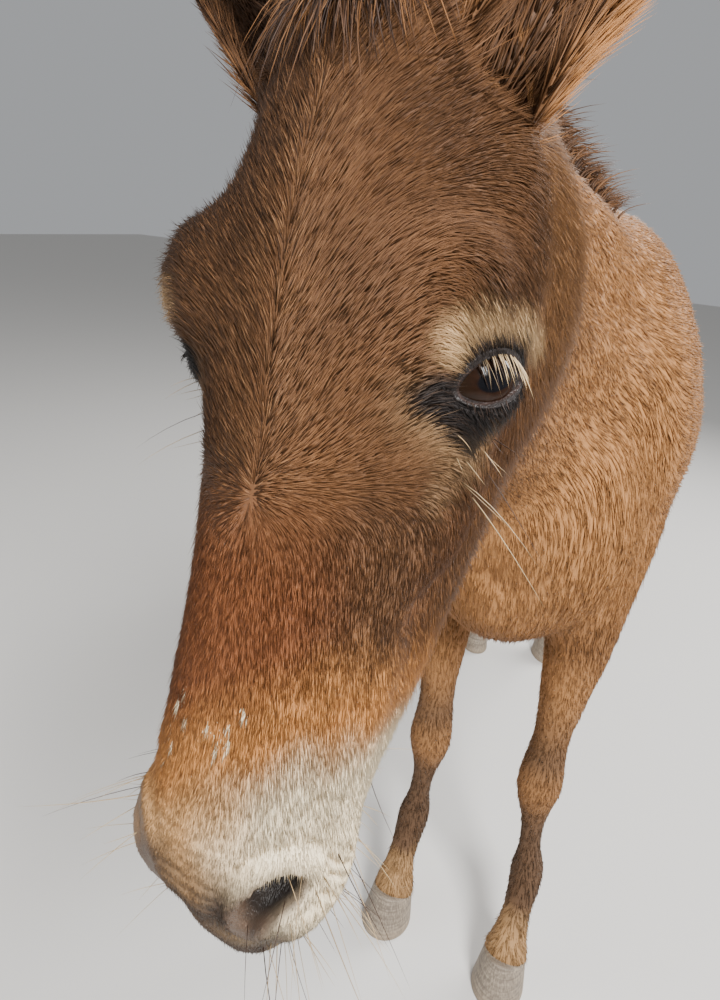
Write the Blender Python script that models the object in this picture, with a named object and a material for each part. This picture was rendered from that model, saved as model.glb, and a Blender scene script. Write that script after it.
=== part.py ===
"""A still, life-size mule standing square with its neck stretched out and its head hung towards the viewer.

The mule faces -Y, its left side is +X and the ground is Z = 0. Every form is a sweep of named
rings or an ellipsoid, blended into one body, meshed, and parted into named pieces by thin cuts.
"""

import math
import random

import bmesh
import bpy
import numpy as np
from mathutils import Vector

# Driving sizes, in metres
GAP = 0.0003
CENTRE_Y = 0.2405  # the middle of the whole animal, behind the line of the front legs
CENTRE_X = -0.0810  # the middle of its width, which the bend of the trunk moves to the right
POLL = (-0.012, -0.649, 1.378)  # top of the skull between the ears
HEAD_YAW, HEAD_NOD, HEAD_TILT = -5.0, 16.7, -2.9  # degrees: turned left, nose forward, rolled
EYE_RADIUS = 0.0225
LID_THICKNESS = 0.0030
EAR_LENGTH = 0.255
HOOF_GAP_X = 0.114  # from the midline to the middle of each hoof
FRONT_STEP = {"left": -0.008, "right": 0.008}  # how far each front foot stands behind its line
HIND_STEP = {"left": 0.035, "right": -0.035}
BEND, BEND_START, BEND_EASE = 0.23, 0.12, 0.30  # the trunk turns to the right behind the shoulders
COARSE_VOXEL, FINE_VOXEL = 0.012, 0.0062
BODY_KEEP, HEAD_KEEP = 0.06, 0.095  # the share of faces that thinning keeps

SIDES = {"left": 1.0, "right": -1.0}
ANGLES = np.radians([0.0, 45.0, 90.0, 135.0, 180.0])

# Rings of the trunk: y, height of the middle, then the radius up, up-side, side, low-side, down
TORSO_RINGS = [
    (-0.075, 0.930, 0.160, 0.150, 0.136, 0.158, 0.236),
    (-0.020, 0.950, 0.230, 0.186, 0.164, 0.190, 0.315),
    (0.060, 0.960, 0.290, 0.210, 0.178, 0.203, 0.347),
    (0.160, 0.960, 0.305, 0.216, 0.190, 0.214, 0.345),
    (0.300, 0.957, 0.287, 0.228, 0.208, 0.228, 0.320),
    (0.460, 0.955, 0.274, 0.237, 0.221, 0.240, 0.295),
    (0.610, 0.963, 0.269, 0.238, 0.219, 0.229, 0.265),
    (0.740, 0.990, 0.262, 0.236, 0.208, 0.200, 0.215),
    (0.850, 1.020, 0.243, 0.218, 0.192, 0.182, 0.192),
    (0.935, 1.040, 0.190, 0.174, 0.155, 0.148, 0.165),
]

# Rings of the neck: x, y, z, then the radius at the crest, upper side, side, lower side, throat
NECK_RINGS = [
    (0.000, 0.130, 1.055, 0.190, 0.150, 0.130, 0.140, 0.170),
    (0.000, -0.020, 1.085, 0.190, 0.140, 0.122, 0.135, 0.190),
    (0.000, -0.150, 1.125, 0.182, 0.120, 0.102, 0.120, 0.185),
    (-0.001, -0.290, 1.165, 0.160, 0.102, 0.086, 0.102, 0.168),
    (-0.003, -0.420, 1.205, 0.140, 0.092, 0.075, 0.090, 0.145),
    (-0.006, -0.510, 1.240, 0.122, 0.086, 0.071, 0.083, 0.124),
    (-0.009, -0.565, 1.262, 0.104, 0.080, 0.068, 0.078, 0.112),
    (-0.011, -0.600, 1.276, 0.060, 0.055, 0.050, 0.055, 0.070),
]

# Rings of the head along the face: distance from the poll, depth of the middle, five radii
HEAD_RINGS = [
    (-0.015, 0.080, 0.048, 0.044, 0.038, 0.046, 0.055),
    (0.005, 0.082, 0.069, 0.055, 0.043, 0.060, 0.082),
    (0.042, 0.092, 0.085, 0.072, 0.055, 0.079, 0.112),
    (0.087, 0.100, 0.098, 0.094, 0.074, 0.097, 0.134),
    (0.133, 0.104, 0.104, 0.108, 0.084, 0.104, 0.146),
    (0.180, 0.102, 0.102, 0.104, 0.082, 0.102, 0.148),
    (0.225, 0.097, 0.094, 0.090, 0.074, 0.094, 0.144),
    (0.271, 0.090, 0.086, 0.080, 0.067, 0.086, 0.136),
    (0.317, 0.084, 0.080, 0.074, 0.063, 0.079, 0.123),
    (0.363, 0.078, 0.076, 0.071, 0.062, 0.073, 0.109),
    (0.405, 0.072, 0.071, 0.068, 0.060, 0.066, 0.092),
    (0.443, 0.067, 0.063, 0.064, 0.058, 0.061, 0.074),
    (0.472, 0.066, 0.050, 0.056, 0.053, 0.053, 0.057),
    (0.492, 0.068, 0.030, 0.035, 0.038, 0.037, 0.034),
]

# Rings of a front leg: height, y, side offset, then radius to the front, 45, side, 135, back
FORELEG_RINGS = [
    (0.860, 0.000, -0.012, 0.105, 0.074, 0.060, 0.074, 0.105),
    (0.760, 0.005, -0.008, 0.090, 0.074, 0.062, 0.075, 0.100),
    (0.680, 0.004, -0.007, 0.070, 0.061, 0.054, 0.062, 0.078),
    (0.580, 0.002, -0.010, 0.050, 0.045, 0.041, 0.046, 0.056),
    (0.490, 0.000, -0.013, 0.036, 0.033, 0.032, 0.034, 0.038),
    (0.445, -0.002, -0.014, 0.038, 0.037, 0.036, 0.036, 0.037),
    (0.410, -0.004, -0.014, 0.042, 0.041, 0.039, 0.039, 0.039),
    (0.375, -0.002, -0.014, 0.037, 0.037, 0.036, 0.038, 0.041),
    (0.335, 0.000, -0.012, 0.0265, 0.0265, 0.026, 0.029, 0.035),
    (0.240, 0.000, -0.005, 0.0245, 0.024, 0.023, 0.027, 0.034),
    (0.203, 0.003, -0.002, 0.031, 0.031, 0.031, 0.035, 0.041),
    (0.170, -0.004, 0.000, 0.030, 0.030, 0.030, 0.034, 0.040),
    (0.125, -0.030, 0.000, 0.027, 0.027, 0.027, 0.028, 0.030),
    (0.090, -0.047, 0.000, 0.031, 0.032, 0.033, 0.035, 0.037),
    (0.060, -0.058, 0.000, 0.038, 0.040, 0.041, 0.042, 0.043),
    (0.020, -0.066, 0.000, 0.030, 0.030, 0.030, 0.030, 0.030),
]

# Rings of a hind leg, in the same order
HINDLEG_RINGS = [
    (1.080, 0.960, -0.030, 0.130, 0.095, 0.075, 0.095, 0.140),
    (0.960, 0.930, -0.018, 0.145, 0.100, 0.078, 0.100, 0.150),
    (0.850, 0.905, -0.008, 0.125, 0.085, 0.067, 0.085, 0.125),
    (0.760, 0.910, 0.000, 0.098, 0.068, 0.055, 0.066, 0.085),
    (0.670, 0.945, 0.000, 0.072, 0.054, 0.045, 0.050, 0.062),
    (0.590, 0.990, 0.000, 0.049, 0.041, 0.036, 0.040, 0.052),
    (0.530, 1.020, 0.000, 0.043, 0.041, 0.037, 0.041, 0.055),
    (0.480, 1.028, 0.000, 0.044, 0.043, 0.039, 0.042, 0.048),
    (0.430, 1.030, 0.000, 0.037, 0.036, 0.034, 0.036, 0.040),
    (0.370, 1.030, 0.000, 0.028, 0.027, 0.025, 0.028, 0.035),
    (0.250, 1.024, 0.000, 0.025, 0.024, 0.023, 0.026, 0.033),
    (0.208, 1.022, 0.000, 0.030, 0.030, 0.029, 0.033, 0.039),
    (0.172, 1.014, 0.000, 0.028, 0.028, 0.028, 0.032, 0.037),
    (0.125, 0.990, 0.000, 0.025, 0.025, 0.025, 0.026, 0.028),
    (0.090, 0.975, 0.000, 0.030, 0.031, 0.031, 0.033, 0.034),
    (0.060, 0.966, 0.000, 0.037, 0.038, 0.038, 0.040, 0.041),
    (0.020, 0.960, 0.000, 0.030, 0.030, 0.030, 0.030, 0.030),
]

# Rings of the fleshy tail dock: y, z, radius
DOCK_RINGS = [
    (1.020, 1.165, 0.045),
    (1.085, 1.172, 0.036),
    (1.135, 1.150, 0.031),
    (1.165, 1.095, 0.028),
    (1.178, 1.010, 0.024),
    (1.182, 0.920, 0.019),
    (1.182, 0.860, 0.012),
]

COLOURS = {
    "coat": (0.30, 0.155, 0.075),
    "dark_coat": (0.16, 0.085, 0.045),
    "mane_hair": (0.035, 0.024, 0.018),
    "hoof_horn": (0.17, 0.145, 0.12),
    "eye": (0.012, 0.008, 0.006),
}


def clear_scene():
    """Removes whatever the file opened with."""
    for obj in list(bpy.data.objects):
        bpy.data.objects.remove(obj)


def material(slot, roughness):
    """A plain finish for one of the named colours."""
    made = bpy.data.materials.new(slot)
    made.use_nodes = True
    shader = made.node_tree.nodes["Principled BSDF"]
    shader.inputs["Base Color"].default_value = (*COLOURS[slot], 1.0)
    shader.inputs["Roughness"].default_value = roughness
    return made


def through(stations, rows, count):
    """Rows of numbers carried smoothly through their stations and read at even steps."""
    rows = np.asarray(rows, float)
    stations = np.asarray(stations, float)
    slopes = np.gradient(rows, stations, axis=0)
    at = np.linspace(stations[0], stations[-1], count)
    left = np.clip(np.searchsorted(stations, at, side="right") - 1, 0, len(stations) - 2)
    step = (stations[left + 1] - stations[left])[:, None]
    u = (at - stations[left])[:, None] / step
    start, end = rows[left], rows[left + 1]
    slope_in, slope_out = slopes[left] * step, slopes[left + 1] * step
    curve = start * (1 + 2 * u) * (1 - u) ** 2 + end * u * u * (3 - 2 * u)
    return curve + slope_in * u * (1 - u) ** 2 + slope_out * u * u * (u - 1)


class Sweep:
    """A body of rings along a curve. Each ring has five radii from its front round to its back."""

    SAMPLES = 72

    def __init__(self, centres, radii, front):
        centres = np.asarray(centres, float)
        stations = np.r_[0, np.cumsum(np.linalg.norm(np.diff(centres, axis=0), axis=1))]
        self.centre = through(stations, centres, self.SAMPLES)
        rings = through(stations, radii, self.SAMPLES)
        basis = np.cos(np.outer(ANGLES, np.arange(5)))
        self.waves = np.linalg.solve(basis, rings.T).T
        along = np.gradient(self.centre, axis=0)
        self.along = along / np.linalg.norm(along, axis=1)[:, None]
        front = np.asarray(front, float) - self.along * (self.along @ np.asarray(front, float))[:, None]
        self.front = front / np.linalg.norm(front, axis=1)[:, None]
        self.side = np.cross(self.along, self.front)
        self.step = stations[-1] / (self.SAMPLES - 1)

    def read(self, points):
        """The place of each point along the sweep, with its offsets there."""
        nearest = np.empty(len(points), int)
        for start in range(0, len(points), 20000):
            part = points[start:start + 20000]
            apart = (part ** 2).sum(1)[:, None] - 2 * part @ self.centre.T + (self.centre ** 2).sum(1)
            nearest[start:start + 20000] = apart.argmin(1)
        offset = points - self.centre[nearest]
        shift = (offset * self.along[nearest]).sum(1) / self.step
        place = np.clip(nearest + np.clip(shift, -1, 1), 0, self.SAMPLES - 1.000001)
        low = place.astype(int)
        share = (place - low)[:, None]

        def between(values):
            return values[low] * (1 - share) + values[low + 1] * share

        return points - between(self.centre), between

    def distance(self, points):
        """Roughly how far each point lies outside the sweep."""
        offset, between = self.read(points)
        ahead = (offset * between(self.along)).sum(1)
        front = (offset * between(self.front)).sum(1)
        side = np.abs((offset * between(self.side)).sum(1))
        reach = np.hypot(front, side)
        angle = np.arctan2(side, front)
        waves = between(self.waves)
        radius = (waves * np.cos(np.outer(angle, np.arange(5)))).sum(1)
        size = np.hypot(reach, ahead) + 1e-9
        return size - waves[:, 0] - (radius - waves[:, 0]) * reach / size

    def shell(self, segments, every):
        """Points and faces of a closed tube over the rings."""
        last = self.SAMPLES - 1
        rings = [(k, 0.0) for k in range(0, last, every)] + [(last, 0.0)]
        rings = [(0, -turn) for turn in (1.4, 1.0, 0.5)] + rings + [(last, turn) for turn in (0.5, 1.0, 1.4)]
        turns = np.linspace(0, 2 * math.pi, segments, endpoint=False)
        points = []
        for k, tip in rings:
            radius = (np.cos(np.outer(turns, np.arange(5))) * self.waves[k]).sum(1) * math.cos(tip)
            ring = np.outer(np.cos(turns) * radius, self.front[k])
            middle = self.centre[k] + self.along[k] * self.waves[k][0] * math.sin(tip)
            points.append(middle + ring + np.outer(np.sin(turns) * radius, self.side[k]))
        return rings_mesh(points)


def rings_mesh(rings):
    """Points and faces of a closed tube through rings of equal count, with flat ends."""
    count = len(rings[0])
    faces = [tuple(range(count))[::-1]]
    for k in range(len(rings) - 1):
        low, high = k * count, (k + 1) * count
        for j in range(count):
            after = (j + 1) % count
            faces.append((low + j, low + after, high + after, high + j))
    faces.append(tuple(range((len(rings) - 1) * count, len(rings) * count)))
    return np.concatenate(rings), faces


def blend(first, second, width):
    """The smaller of two distances, rounded where they meet."""
    share = np.clip(0.5 + 0.5 * (second - first) / width, 0, 1)
    return second * (1 - share) + first * share - width * share * (1 - share)


def ellipsoid(points, centre, radii):
    """Roughly how far each point lies outside an ellipsoid."""
    offset = points - np.asarray(centre)
    radii = np.asarray(radii)
    near = np.linalg.norm(offset / radii, axis=1)
    slope = np.linalg.norm(offset / radii ** 2, axis=1) + 1e-9
    return np.where(near < 1, (near - 1) * radii.min(), near * (near - 1) / slope)


def head_axes():
    """The head's own left, down-the-face and out-of-the-face directions."""
    yaw, nod, tilt = (math.radians(angle) for angle in (HEAD_YAW, HEAD_NOD, HEAD_TILT))
    left = np.array([math.cos(yaw) * math.cos(tilt), math.sin(yaw) * math.cos(tilt), -math.sin(tilt)])
    ahead = np.array([math.sin(yaw), -math.cos(yaw), 0.0])
    down = ahead * math.sin(nod) - np.array([0, 0, 1]) * math.cos(nod)
    down -= left * (left @ down)
    down /= np.linalg.norm(down)
    return np.array([left, down, np.cross(down, left)])


HEAD = head_axes()


def head_point(x, down, out):
    """A place in the animal's frame from the head's own three measures."""
    return np.asarray(POLL) + np.array([x, down, out]) @ HEAD


def in_head(points):
    """The head's own measures of points in the animal's frame."""
    return (points - np.asarray(POLL)) @ HEAD.T


# The eye, in the head's own measures on its left side
EYE_CENTRE = np.array([0.0770, 0.1780, -0.0595])
EYE_OUT = np.array([0.84, -0.10, 0.53]) / np.linalg.norm([0.84, -0.10, 0.53])
EYE_ALONG = np.array([0.42, -0.47, -0.77])
EYE_ALONG = EYE_ALONG - EYE_OUT * (EYE_ALONG @ EYE_OUT)
EYE_ALONG /= np.linalg.norm(EYE_ALONG)
EYE_UP = np.cross(EYE_OUT, EYE_ALONG)
EYE_UP *= -np.sign(EYE_UP[1])
EYE_HALF_LENGTH, EYE_UPPER, EYE_LOWER = 0.0270, 0.0100, 0.0110

HEAD_FORMS = [
    # centre, radii and blend of each ellipsoid, in the head's own measures on its left side
    ((0.0770, 0.178, -0.0595), (EYE_RADIUS + LID_THICKNESS,) * 3, 0.020),
    ((0.0700, 0.145, -0.030), (0.027, 0.030, 0.020), 0.030),
    ((0.0760, 0.112, -0.072), (0.018, 0.052, 0.018), 0.030),
    ((0.0600, 0.230, -0.084), (0.022, 0.048, 0.016), 0.030),
    ((0.0460, 0.125, -0.155), (0.042, 0.080, 0.080), 0.035),
    ((0.0560, 0.017, -0.062), (0.031, 0.034, 0.034), 0.030),
    ((0.0400, 0.452, -0.045), (0.024, 0.034, 0.028), 0.016),
    ((0.0385, 0.438, -0.066), (0.023, 0.040, 0.014), 0.016),
    ((0.0000, 0.484, -0.054), (0.043, 0.020, 0.024), 0.014),
    ((0.0000, 0.468, -0.100), (0.038, 0.024, 0.018), 0.012),
    ((0.0000, 0.440, -0.124), (0.028, 0.030, 0.018), 0.014),
]

BODY_FORMS = [
    # centre, radii and blend of each muscle on the left side of the trunk
    ((0.070, -0.110, 0.900), (0.075, 0.095, 0.120), 0.080),
    ((0.098, 0.045, 1.000), (0.066, 0.095, 0.150), 0.080),
    ((0.100, 0.060, 0.850), (0.065, 0.100, 0.110), 0.070),
    ((0.100, 0.880, 1.000), (0.084, 0.170, 0.170), 0.080),
    ((0.100, 0.970, 0.960), (0.070, 0.100, 0.150), 0.070),
    ((0.100, 0.780, 0.850), (0.060, 0.070, 0.080), 0.060),
    ((0.000, 0.120, 1.190), (0.050, 0.150, 0.070), 0.080),
]


def leg(rings, side, step, hoof_x):
    """The sweep of one leg on its side of the body."""
    centres = []
    for height, y, inward, *_ in rings:
        centres.append((side * (hoof_x + inward), y + step * min(1.0, max(0.0, 1 - height / 0.8)), height))
    return Sweep(centres, [ring[3:] for ring in rings], (0, -1, 0))


def all_sweeps():
    """Every sweep of the body, by name."""
    sweeps = {
        "torso": Sweep([(0, r[0], r[1]) for r in TORSO_RINGS], [r[2:] for r in TORSO_RINGS], (0, 0, 1)),
        "neck": Sweep([r[:3] for r in NECK_RINGS], [r[3:] for r in NECK_RINGS], (0, -0.3, 1)),
        "head": Sweep([head_point(0, r[0], -r[1]) for r in HEAD_RINGS], [r[2:] for r in HEAD_RINGS], HEAD[2]),
        "dock": Sweep([(0, r[0], r[1]) for r in DOCK_RINGS], [(r[2],) * 5 for r in DOCK_RINGS], (0, 0.5, 1)),
    }
    for name, side in SIDES.items():
        sweeps["foreleg_" + name] = leg(FORELEG_RINGS, side, FRONT_STEP[name], HOOF_GAP_X)
        sweeps["hindleg_" + name] = leg(HINDLEG_RINGS, side, HIND_STEP[name], HOOF_GAP_X)
    return sweeps


SWEEPS = all_sweeps()


def head_distance(points):
    """The blended head, with its brows, cheeks, nostril wings, lips and chin."""
    value = SWEEPS["head"].distance(points)
    local = in_head(points)
    local[:, 0] = np.abs(local[:, 0])
    for centre, radii, width in HEAD_FORMS:
        value = blend(value, ellipsoid(local, centre, radii), width)
    return value


def body_distance(points):
    """The whole blended animal, without ears, eyes, hooves and long hair."""
    value = blend(SWEEPS["torso"].distance(points), SWEEPS["neck"].distance(points), 0.10)
    mirrored = points * [1, 1, 1]
    mirrored[:, 0] = np.abs(mirrored[:, 0])
    for centre, radii, width in BODY_FORMS:
        value = blend(value, ellipsoid(mirrored, centre, radii), width)
    for name in SIDES:
        value = blend(value, SWEEPS["foreleg_" + name].distance(points), 0.045)
        value = blend(value, SWEEPS["hindleg_" + name].distance(points), 0.055)
    value = blend(value, SWEEPS["dock"].distance(points), 0.030)
    return blend(value, head_distance(points), 0.045)


def settle(points, distance, rounds):
    """Points moved along the slope of a distance until they lie on its surface."""
    small = 0.0006
    for _ in range(rounds):
        here = distance(points)
        slope = np.stack([(distance(points + step) - here) / small for step in np.eye(3) * small], axis=1)
        size = np.maximum((slope ** 2).sum(1), 0.2)
        points = points - slope * np.clip(here / size, -0.012, 0.012)[:, None]
    return points


def new_object(name, points, faces):
    """A mesh object from points and faces."""
    mesh = bpy.data.meshes.new(name)
    mesh.from_pydata([tuple(p) for p in points], [], [tuple(f) for f in faces])
    mesh.update()
    obj = bpy.data.objects.new(name, mesh)
    bpy.context.scene.collection.objects.link(obj)
    return obj


def applied(obj):
    """The object with its modifiers made part of its mesh."""
    graph = bpy.context.evaluated_depsgraph_get()
    mesh = bpy.data.meshes.new_from_object(obj.evaluated_get(graph))
    obj.modifiers.clear()
    obj.data = mesh
    return obj


def blended_mesh(name, parts, voxel, keep):
    """One closed skin over some sweeps, meshed evenly, settled on the blend and thinned."""
    points, faces = [], []
    for part in parts:
        made, sides = SWEEPS[part].shell(28, 3)
        start = sum(len(p) for p in points)
        points.append(made)
        faces.extend(tuple(k + start for k in face) for face in sides)
    obj = new_object(name, np.concatenate(points), faces)
    remesh = obj.modifiers.new("even", "REMESH")
    remesh.mode = "VOXEL"
    remesh.voxel_size = voxel
    applied(obj)
    mesh = obj.data
    flat = np.empty(len(mesh.vertices) * 3, np.float32)
    mesh.vertices.foreach_get("co", flat)
    settled = settle(flat.reshape(-1, 3).astype(float), body_distance, 5)
    mesh.vertices.foreach_set("co", settled.astype(np.float32).ravel())
    mesh.update()
    smooth = obj.modifiers.new("relax", "SMOOTH")
    smooth.factor = 0.5
    smooth.iterations = 2
    thin = obj.modifiers.new("thin", "DECIMATE")
    thin.ratio = keep
    return applied(obj)


def keep_largest(obj):
    """Drops every closed surface of an object but the one with the largest volume."""
    work = bmesh.new()
    work.from_mesh(obj.data)
    left = set(work.faces)
    shells = []
    while left:
        stack = [left.pop()]
        shell = list(stack)
        while stack:
            for edge in stack.pop().edges:
                for face in edge.link_faces:
                    if face in left:
                        left.remove(face)
                        stack.append(face)
                        shell.append(face)
        shells.append(shell)

    def volume(shell):
        total = 0.0
        for face in shell:
            first = face.verts[0].co
            for k in range(1, len(face.verts) - 1):
                total += first.dot(face.verts[k].co.cross(face.verts[k + 1].co))
        return total

    shells.sort(key=volume)
    dropped = [face for shell in shells[:-1] for face in shell]
    bmesh.ops.delete(work, geom=dropped, context="FACES")
    bmesh.ops.triangulate(work, faces=work.faces[:])
    work.to_mesh(obj.data)
    bmesh.ops.dissolve_degenerate(work, edges=work.edges[:], dist=0.00002)
    bmesh.ops.triangulate(work, faces=work.faces[:])
    if all(edge.is_manifold for edge in work.edges):
        work.to_mesh(obj.data)
    work.free()
    return obj


def copy_of(obj, name):
    """A second object with its own mesh."""
    made = bpy.data.objects.new(name, obj.data.copy())
    bpy.context.scene.collection.objects.link(made)
    return made


def combined(obj, others, operation):
    """One Boolean of an object with closed helper objects, applied, and the helpers removed."""
    helpers = bpy.data.collections.new("helpers")
    bpy.context.scene.collection.children.link(helpers)
    for other in others:
        for holder in list(other.users_collection):
            holder.objects.unlink(other)
        helpers.objects.link(other)
    modifier = obj.modifiers.new("join", "BOOLEAN")
    modifier.operation = operation
    modifier.operand_type = "COLLECTION"
    modifier.collection = helpers
    modifier.solver = "MANIFOLD"
    applied(obj)
    for other in others:
        bpy.data.objects.remove(other)
    bpy.data.collections.remove(helpers)
    return keep_largest(obj)


def sliced(obj, point, normal):
    """The part of a closed mesh behind a plane, with its cut face closed."""
    work = bmesh.new()
    work.from_mesh(obj.data)
    geometry = work.verts[:] + work.edges[:] + work.faces[:]
    bmesh.ops.bisect_plane(
        work, geom=geometry, plane_co=Vector(point), plane_no=Vector(normal), clear_outer=True
    )
    rim = [edge for edge in work.edges if edge.is_boundary]
    bmesh.ops.edgenet_fill(work, edges=rim)
    bmesh.ops.recalc_face_normals(work, faces=work.faces[:])
    work.to_mesh(obj.data)
    work.free()
    return keep_largest(obj)


def parted(obj, name, point, normal):
    """Cuts an object by a plane: what lies ahead of it becomes a new object."""
    point, normal = np.asarray(point, float), np.asarray(normal, float)
    normal = normal / np.linalg.norm(normal)
    ahead = copy_of(obj, name)
    sliced(ahead, point + normal * GAP / 2, -normal)
    sliced(obj, point - normal * GAP / 2, normal)
    return ahead


def ahead_of(name, point, normal, half, reach):
    """A closed block on one side of a plane, wide enough for the place it cuts."""
    normal = np.asarray(normal, float)
    across = np.array([1.0, 0.0, 0.0])
    across -= normal * (normal @ across)
    across /= np.linalg.norm(across)
    along = np.cross(normal, across)
    obj = box(name, (-half, -half, 0.0), (half, half, reach))
    for vertex in obj.data.vertices:
        a, b, c = vertex.co
        vertex.co = np.asarray(point) + across * a + along * b + normal * c
    return faced_out(obj)


def box(name, low, high):
    """A closed box between two corners."""
    corners = [(x, y, z) for x in (low[0], high[0]) for y in (low[1], high[1]) for z in (low[2], high[2])]
    faces = [(0, 1, 3, 2), (4, 6, 7, 5), (0, 4, 5, 1), (2, 3, 7, 6), (0, 2, 6, 4), (1, 5, 7, 3)]
    return new_object(name, np.array(corners), faces)


def tube(name, path, radii, front, segments=8):
    """A closed tube through a path, with a round or oval ring at each point and pointed ends."""
    path = np.asarray(path, float)
    along = np.gradient(path, axis=0)
    along /= np.linalg.norm(along, axis=1)[:, None]
    turns = np.linspace(0, 2 * math.pi, segments, endpoint=False)
    rings = []
    for k in range(len(path)):
        face = np.asarray(front[k], float)
        face = face - along[k] * (along[k] @ face)
        face /= np.linalg.norm(face)
        side = np.cross(along[k], face)
        ring = np.outer(np.cos(turns) * radii[k][0], face) + np.outer(np.sin(turns) * radii[k][1], side)
        rings.append(path[k] + ring)
    points, faces = rings_mesh(rings)
    return new_object(name, points, faces)


def lock(name, root, start, fall, out, length, width, thickness, reach, segments=5):
    """A flat, tapered lock of hair that leaves its root one way and bends over to fall another."""
    root, start, fall = (np.asarray(v, float) for v in (root, start, fall))
    place = root - start * thickness * 1.5
    path, radii, fronts = [], [], []
    for k in range(segments + 1):
        share = k / segments
        path.append(place)
        turn = min(1.0, share / reach)
        way = start * (1 - turn) + fall * turn
        way /= np.linalg.norm(way)
        place = place + way * length / segments
        taper = (1 - share) ** 0.6 if share > 0.35 else 0.72 + 0.15 * share / 0.35
        radii.append((thickness / 2 * max(taper, 0.2), width / 2 * max(taper, 0.12)))
        fronts.append(out)
    return tube(name, path, radii, fronts, segments=4)


def make_hoof(name, side, y, half_length, half_width, step):
    """A hoof: an upright, narrow cone of horn with a sloping coronet and a flat sole."""
    turns = np.linspace(0, 2 * math.pi, 24, endpoint=False)
    rings = []
    for share in (0.0, 0.06, 0.5, 1.0):
        spread = 1.0 - 0.20 * share - (0.03 if share == 0 else 0.0)
        front = -np.cos(turns)
        length = half_length * spread * np.where(front > 0, 0.93, 1.0)
        ring_y = y + step + 0.017 * share + front * length
        ring_x = side * HOOF_GAP_X + np.sin(turns) * half_width * spread
        top = coronet_height(ring_y - y - step)
        rings.append(np.stack([ring_x, ring_y, share * (top - GAP)], axis=1))
    points, faces = rings_mesh(rings)
    obj = new_object(name, points, faces)
    return faced_out(obj)


def coronet_height(back):
    """How high the coronet lies at a distance behind the middle of the hoof."""
    return CORONET_Z - CORONET_SLOPE * (back - CORONET_BACK)


CORONET_Z, CORONET_SLOPE, CORONET_BACK = 0.060, 0.42, 0.014
FORE_HOOF_Y, HIND_HOOF_Y = -0.078, 0.952


def side_bend(y):
    """How far the trunk swings to its right at a distance behind the front legs."""
    behind = max(y - BEND_START, 0.0)
    return BEND * (behind ** 2 / (2 * BEND_EASE) if behind < BEND_EASE else behind - BEND_EASE / 2)


def faced_out(obj):
    """The object with its faces turned outwards."""
    work = bmesh.new()
    work.from_mesh(obj.data)
    bmesh.ops.recalc_face_normals(work, faces=work.faces[:])
    work.to_mesh(obj.data)
    work.free()
    return obj


def make_feet(body):
    """Parts the legs from the trunk and sets a hoof under each."""
    nodes = []
    for name, side in SIDES.items():
        for kind, hoof_y, top, back, step in (
            ("front", FORE_HOOF_Y, FORELEG_TOP, (-0.30, 0.25), FRONT_STEP[name]),
            ("hind", HIND_HOOF_Y, HINDLEG_TOP, (0.66, 1.30), HIND_STEP[name]),
        ):
            inner, outer = sorted((side * 0.004, side * 0.40))
            cutter = box("leg_space", (inner, back[0], -0.1), (outer, back[1], top))
            limb = combined(copy_of(body, f"{kind}_leg_{name}"), [cutter], "INTERSECT")
            centre = (side * HOOF_GAP_X, hoof_y + step + CORONET_BACK, CORONET_Z)
            sliced(limb, centre, (0, -CORONET_SLOPE, -1))
            nodes.append((limb, "dark_coat"))
            sizes = (0.055, 0.046) if kind == "front" else (0.053, 0.043)
            hoof = make_hoof(f"{kind}_hoof_{name}", side, hoof_y, *sizes, step)
            nodes.append((hoof, "hoof_horn"))
    spaces = []
    for side in SIDES.values():
        inner, outer = sorted((side * 0.004, side * 0.40))
        spaces.append(box("front_space", (inner, -0.30, -0.1), (outer, 0.25, FORELEG_TOP + GAP)))
        spaces.append(box("hind_space", (inner, 0.66, -0.1), (outer, 1.30, HINDLEG_TOP + GAP)))
    combined(body, spaces, "DIFFERENCE")
    return nodes


FORELEG_TOP, HINDLEG_TOP = 0.630, 0.670


def eye_frame(side):
    """The eye's centre and its outward, lengthwise and upward directions in the animal's frame."""
    flip = np.array([side, 1, 1])
    axes = [(axis * flip) @ HEAD for axis in (EYE_OUT, EYE_ALONG, EYE_UP)]
    return head_point(*(EYE_CENTRE * flip)), axes


def lid_opening(side):
    """The almond space between the lids, as a cone that widens out of the eye."""
    centre, (out, along, up) = eye_frame(side)
    rings = []
    for reach in (0.7, 2.2):
        ring = []
        for k in range(18):
            turn = 2 * math.pi * k / 18
            half = EYE_UPPER if math.sin(turn) > 0 else EYE_LOWER
            across = EYE_HALF_LENGTH * math.cos(turn)
            rise = half * math.sin(turn) * (1 - 0.25 * math.cos(turn) ** 2)
            ring.append(centre + (out * EYE_RADIUS + along * across + up * rise) * reach)
        rings.append(np.array(ring))
    return faced_out(new_object("lid_opening", *rings_mesh(rings)))


def ball(name, centre, radius):
    """A round ball."""
    mesh = bpy.data.meshes.new(name)
    work = bmesh.new()
    bmesh.ops.create_icosphere(work, subdivisions=3, radius=radius)
    bmesh.ops.translate(work, verts=work.verts[:], vec=Vector(centre))
    work.to_mesh(mesh)
    work.free()
    obj = bpy.data.objects.new(name, mesh)
    bpy.context.scene.collection.objects.link(obj)
    return obj


def nostril_space(side):
    """The comma-shaped hollow of a nostril, deepest at its upper, outer end."""
    places = [(0.029, 0.478, -0.024), (0.034, 0.470, -0.019), (0.0385, 0.459, -0.018)]
    places += [(0.044, 0.4490, -0.021), (0.0488, 0.4425, -0.027), (0.0515, 0.4390, -0.034)]
    radii = [(0.004, 0.0025), (0.012, 0.0050), (0.015, 0.0065), (0.018, 0.0080), (0.016, 0.0085), (0.008, 0.005)]
    path = [head_point(x * side, down, out) for x, down, out in places]
    inward = [np.array([-0.52 * side, -0.2, -0.83]) @ HEAD] * len(path)
    return faced_out(tube("nostril_space", path, radii, inward, segments=10))


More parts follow.
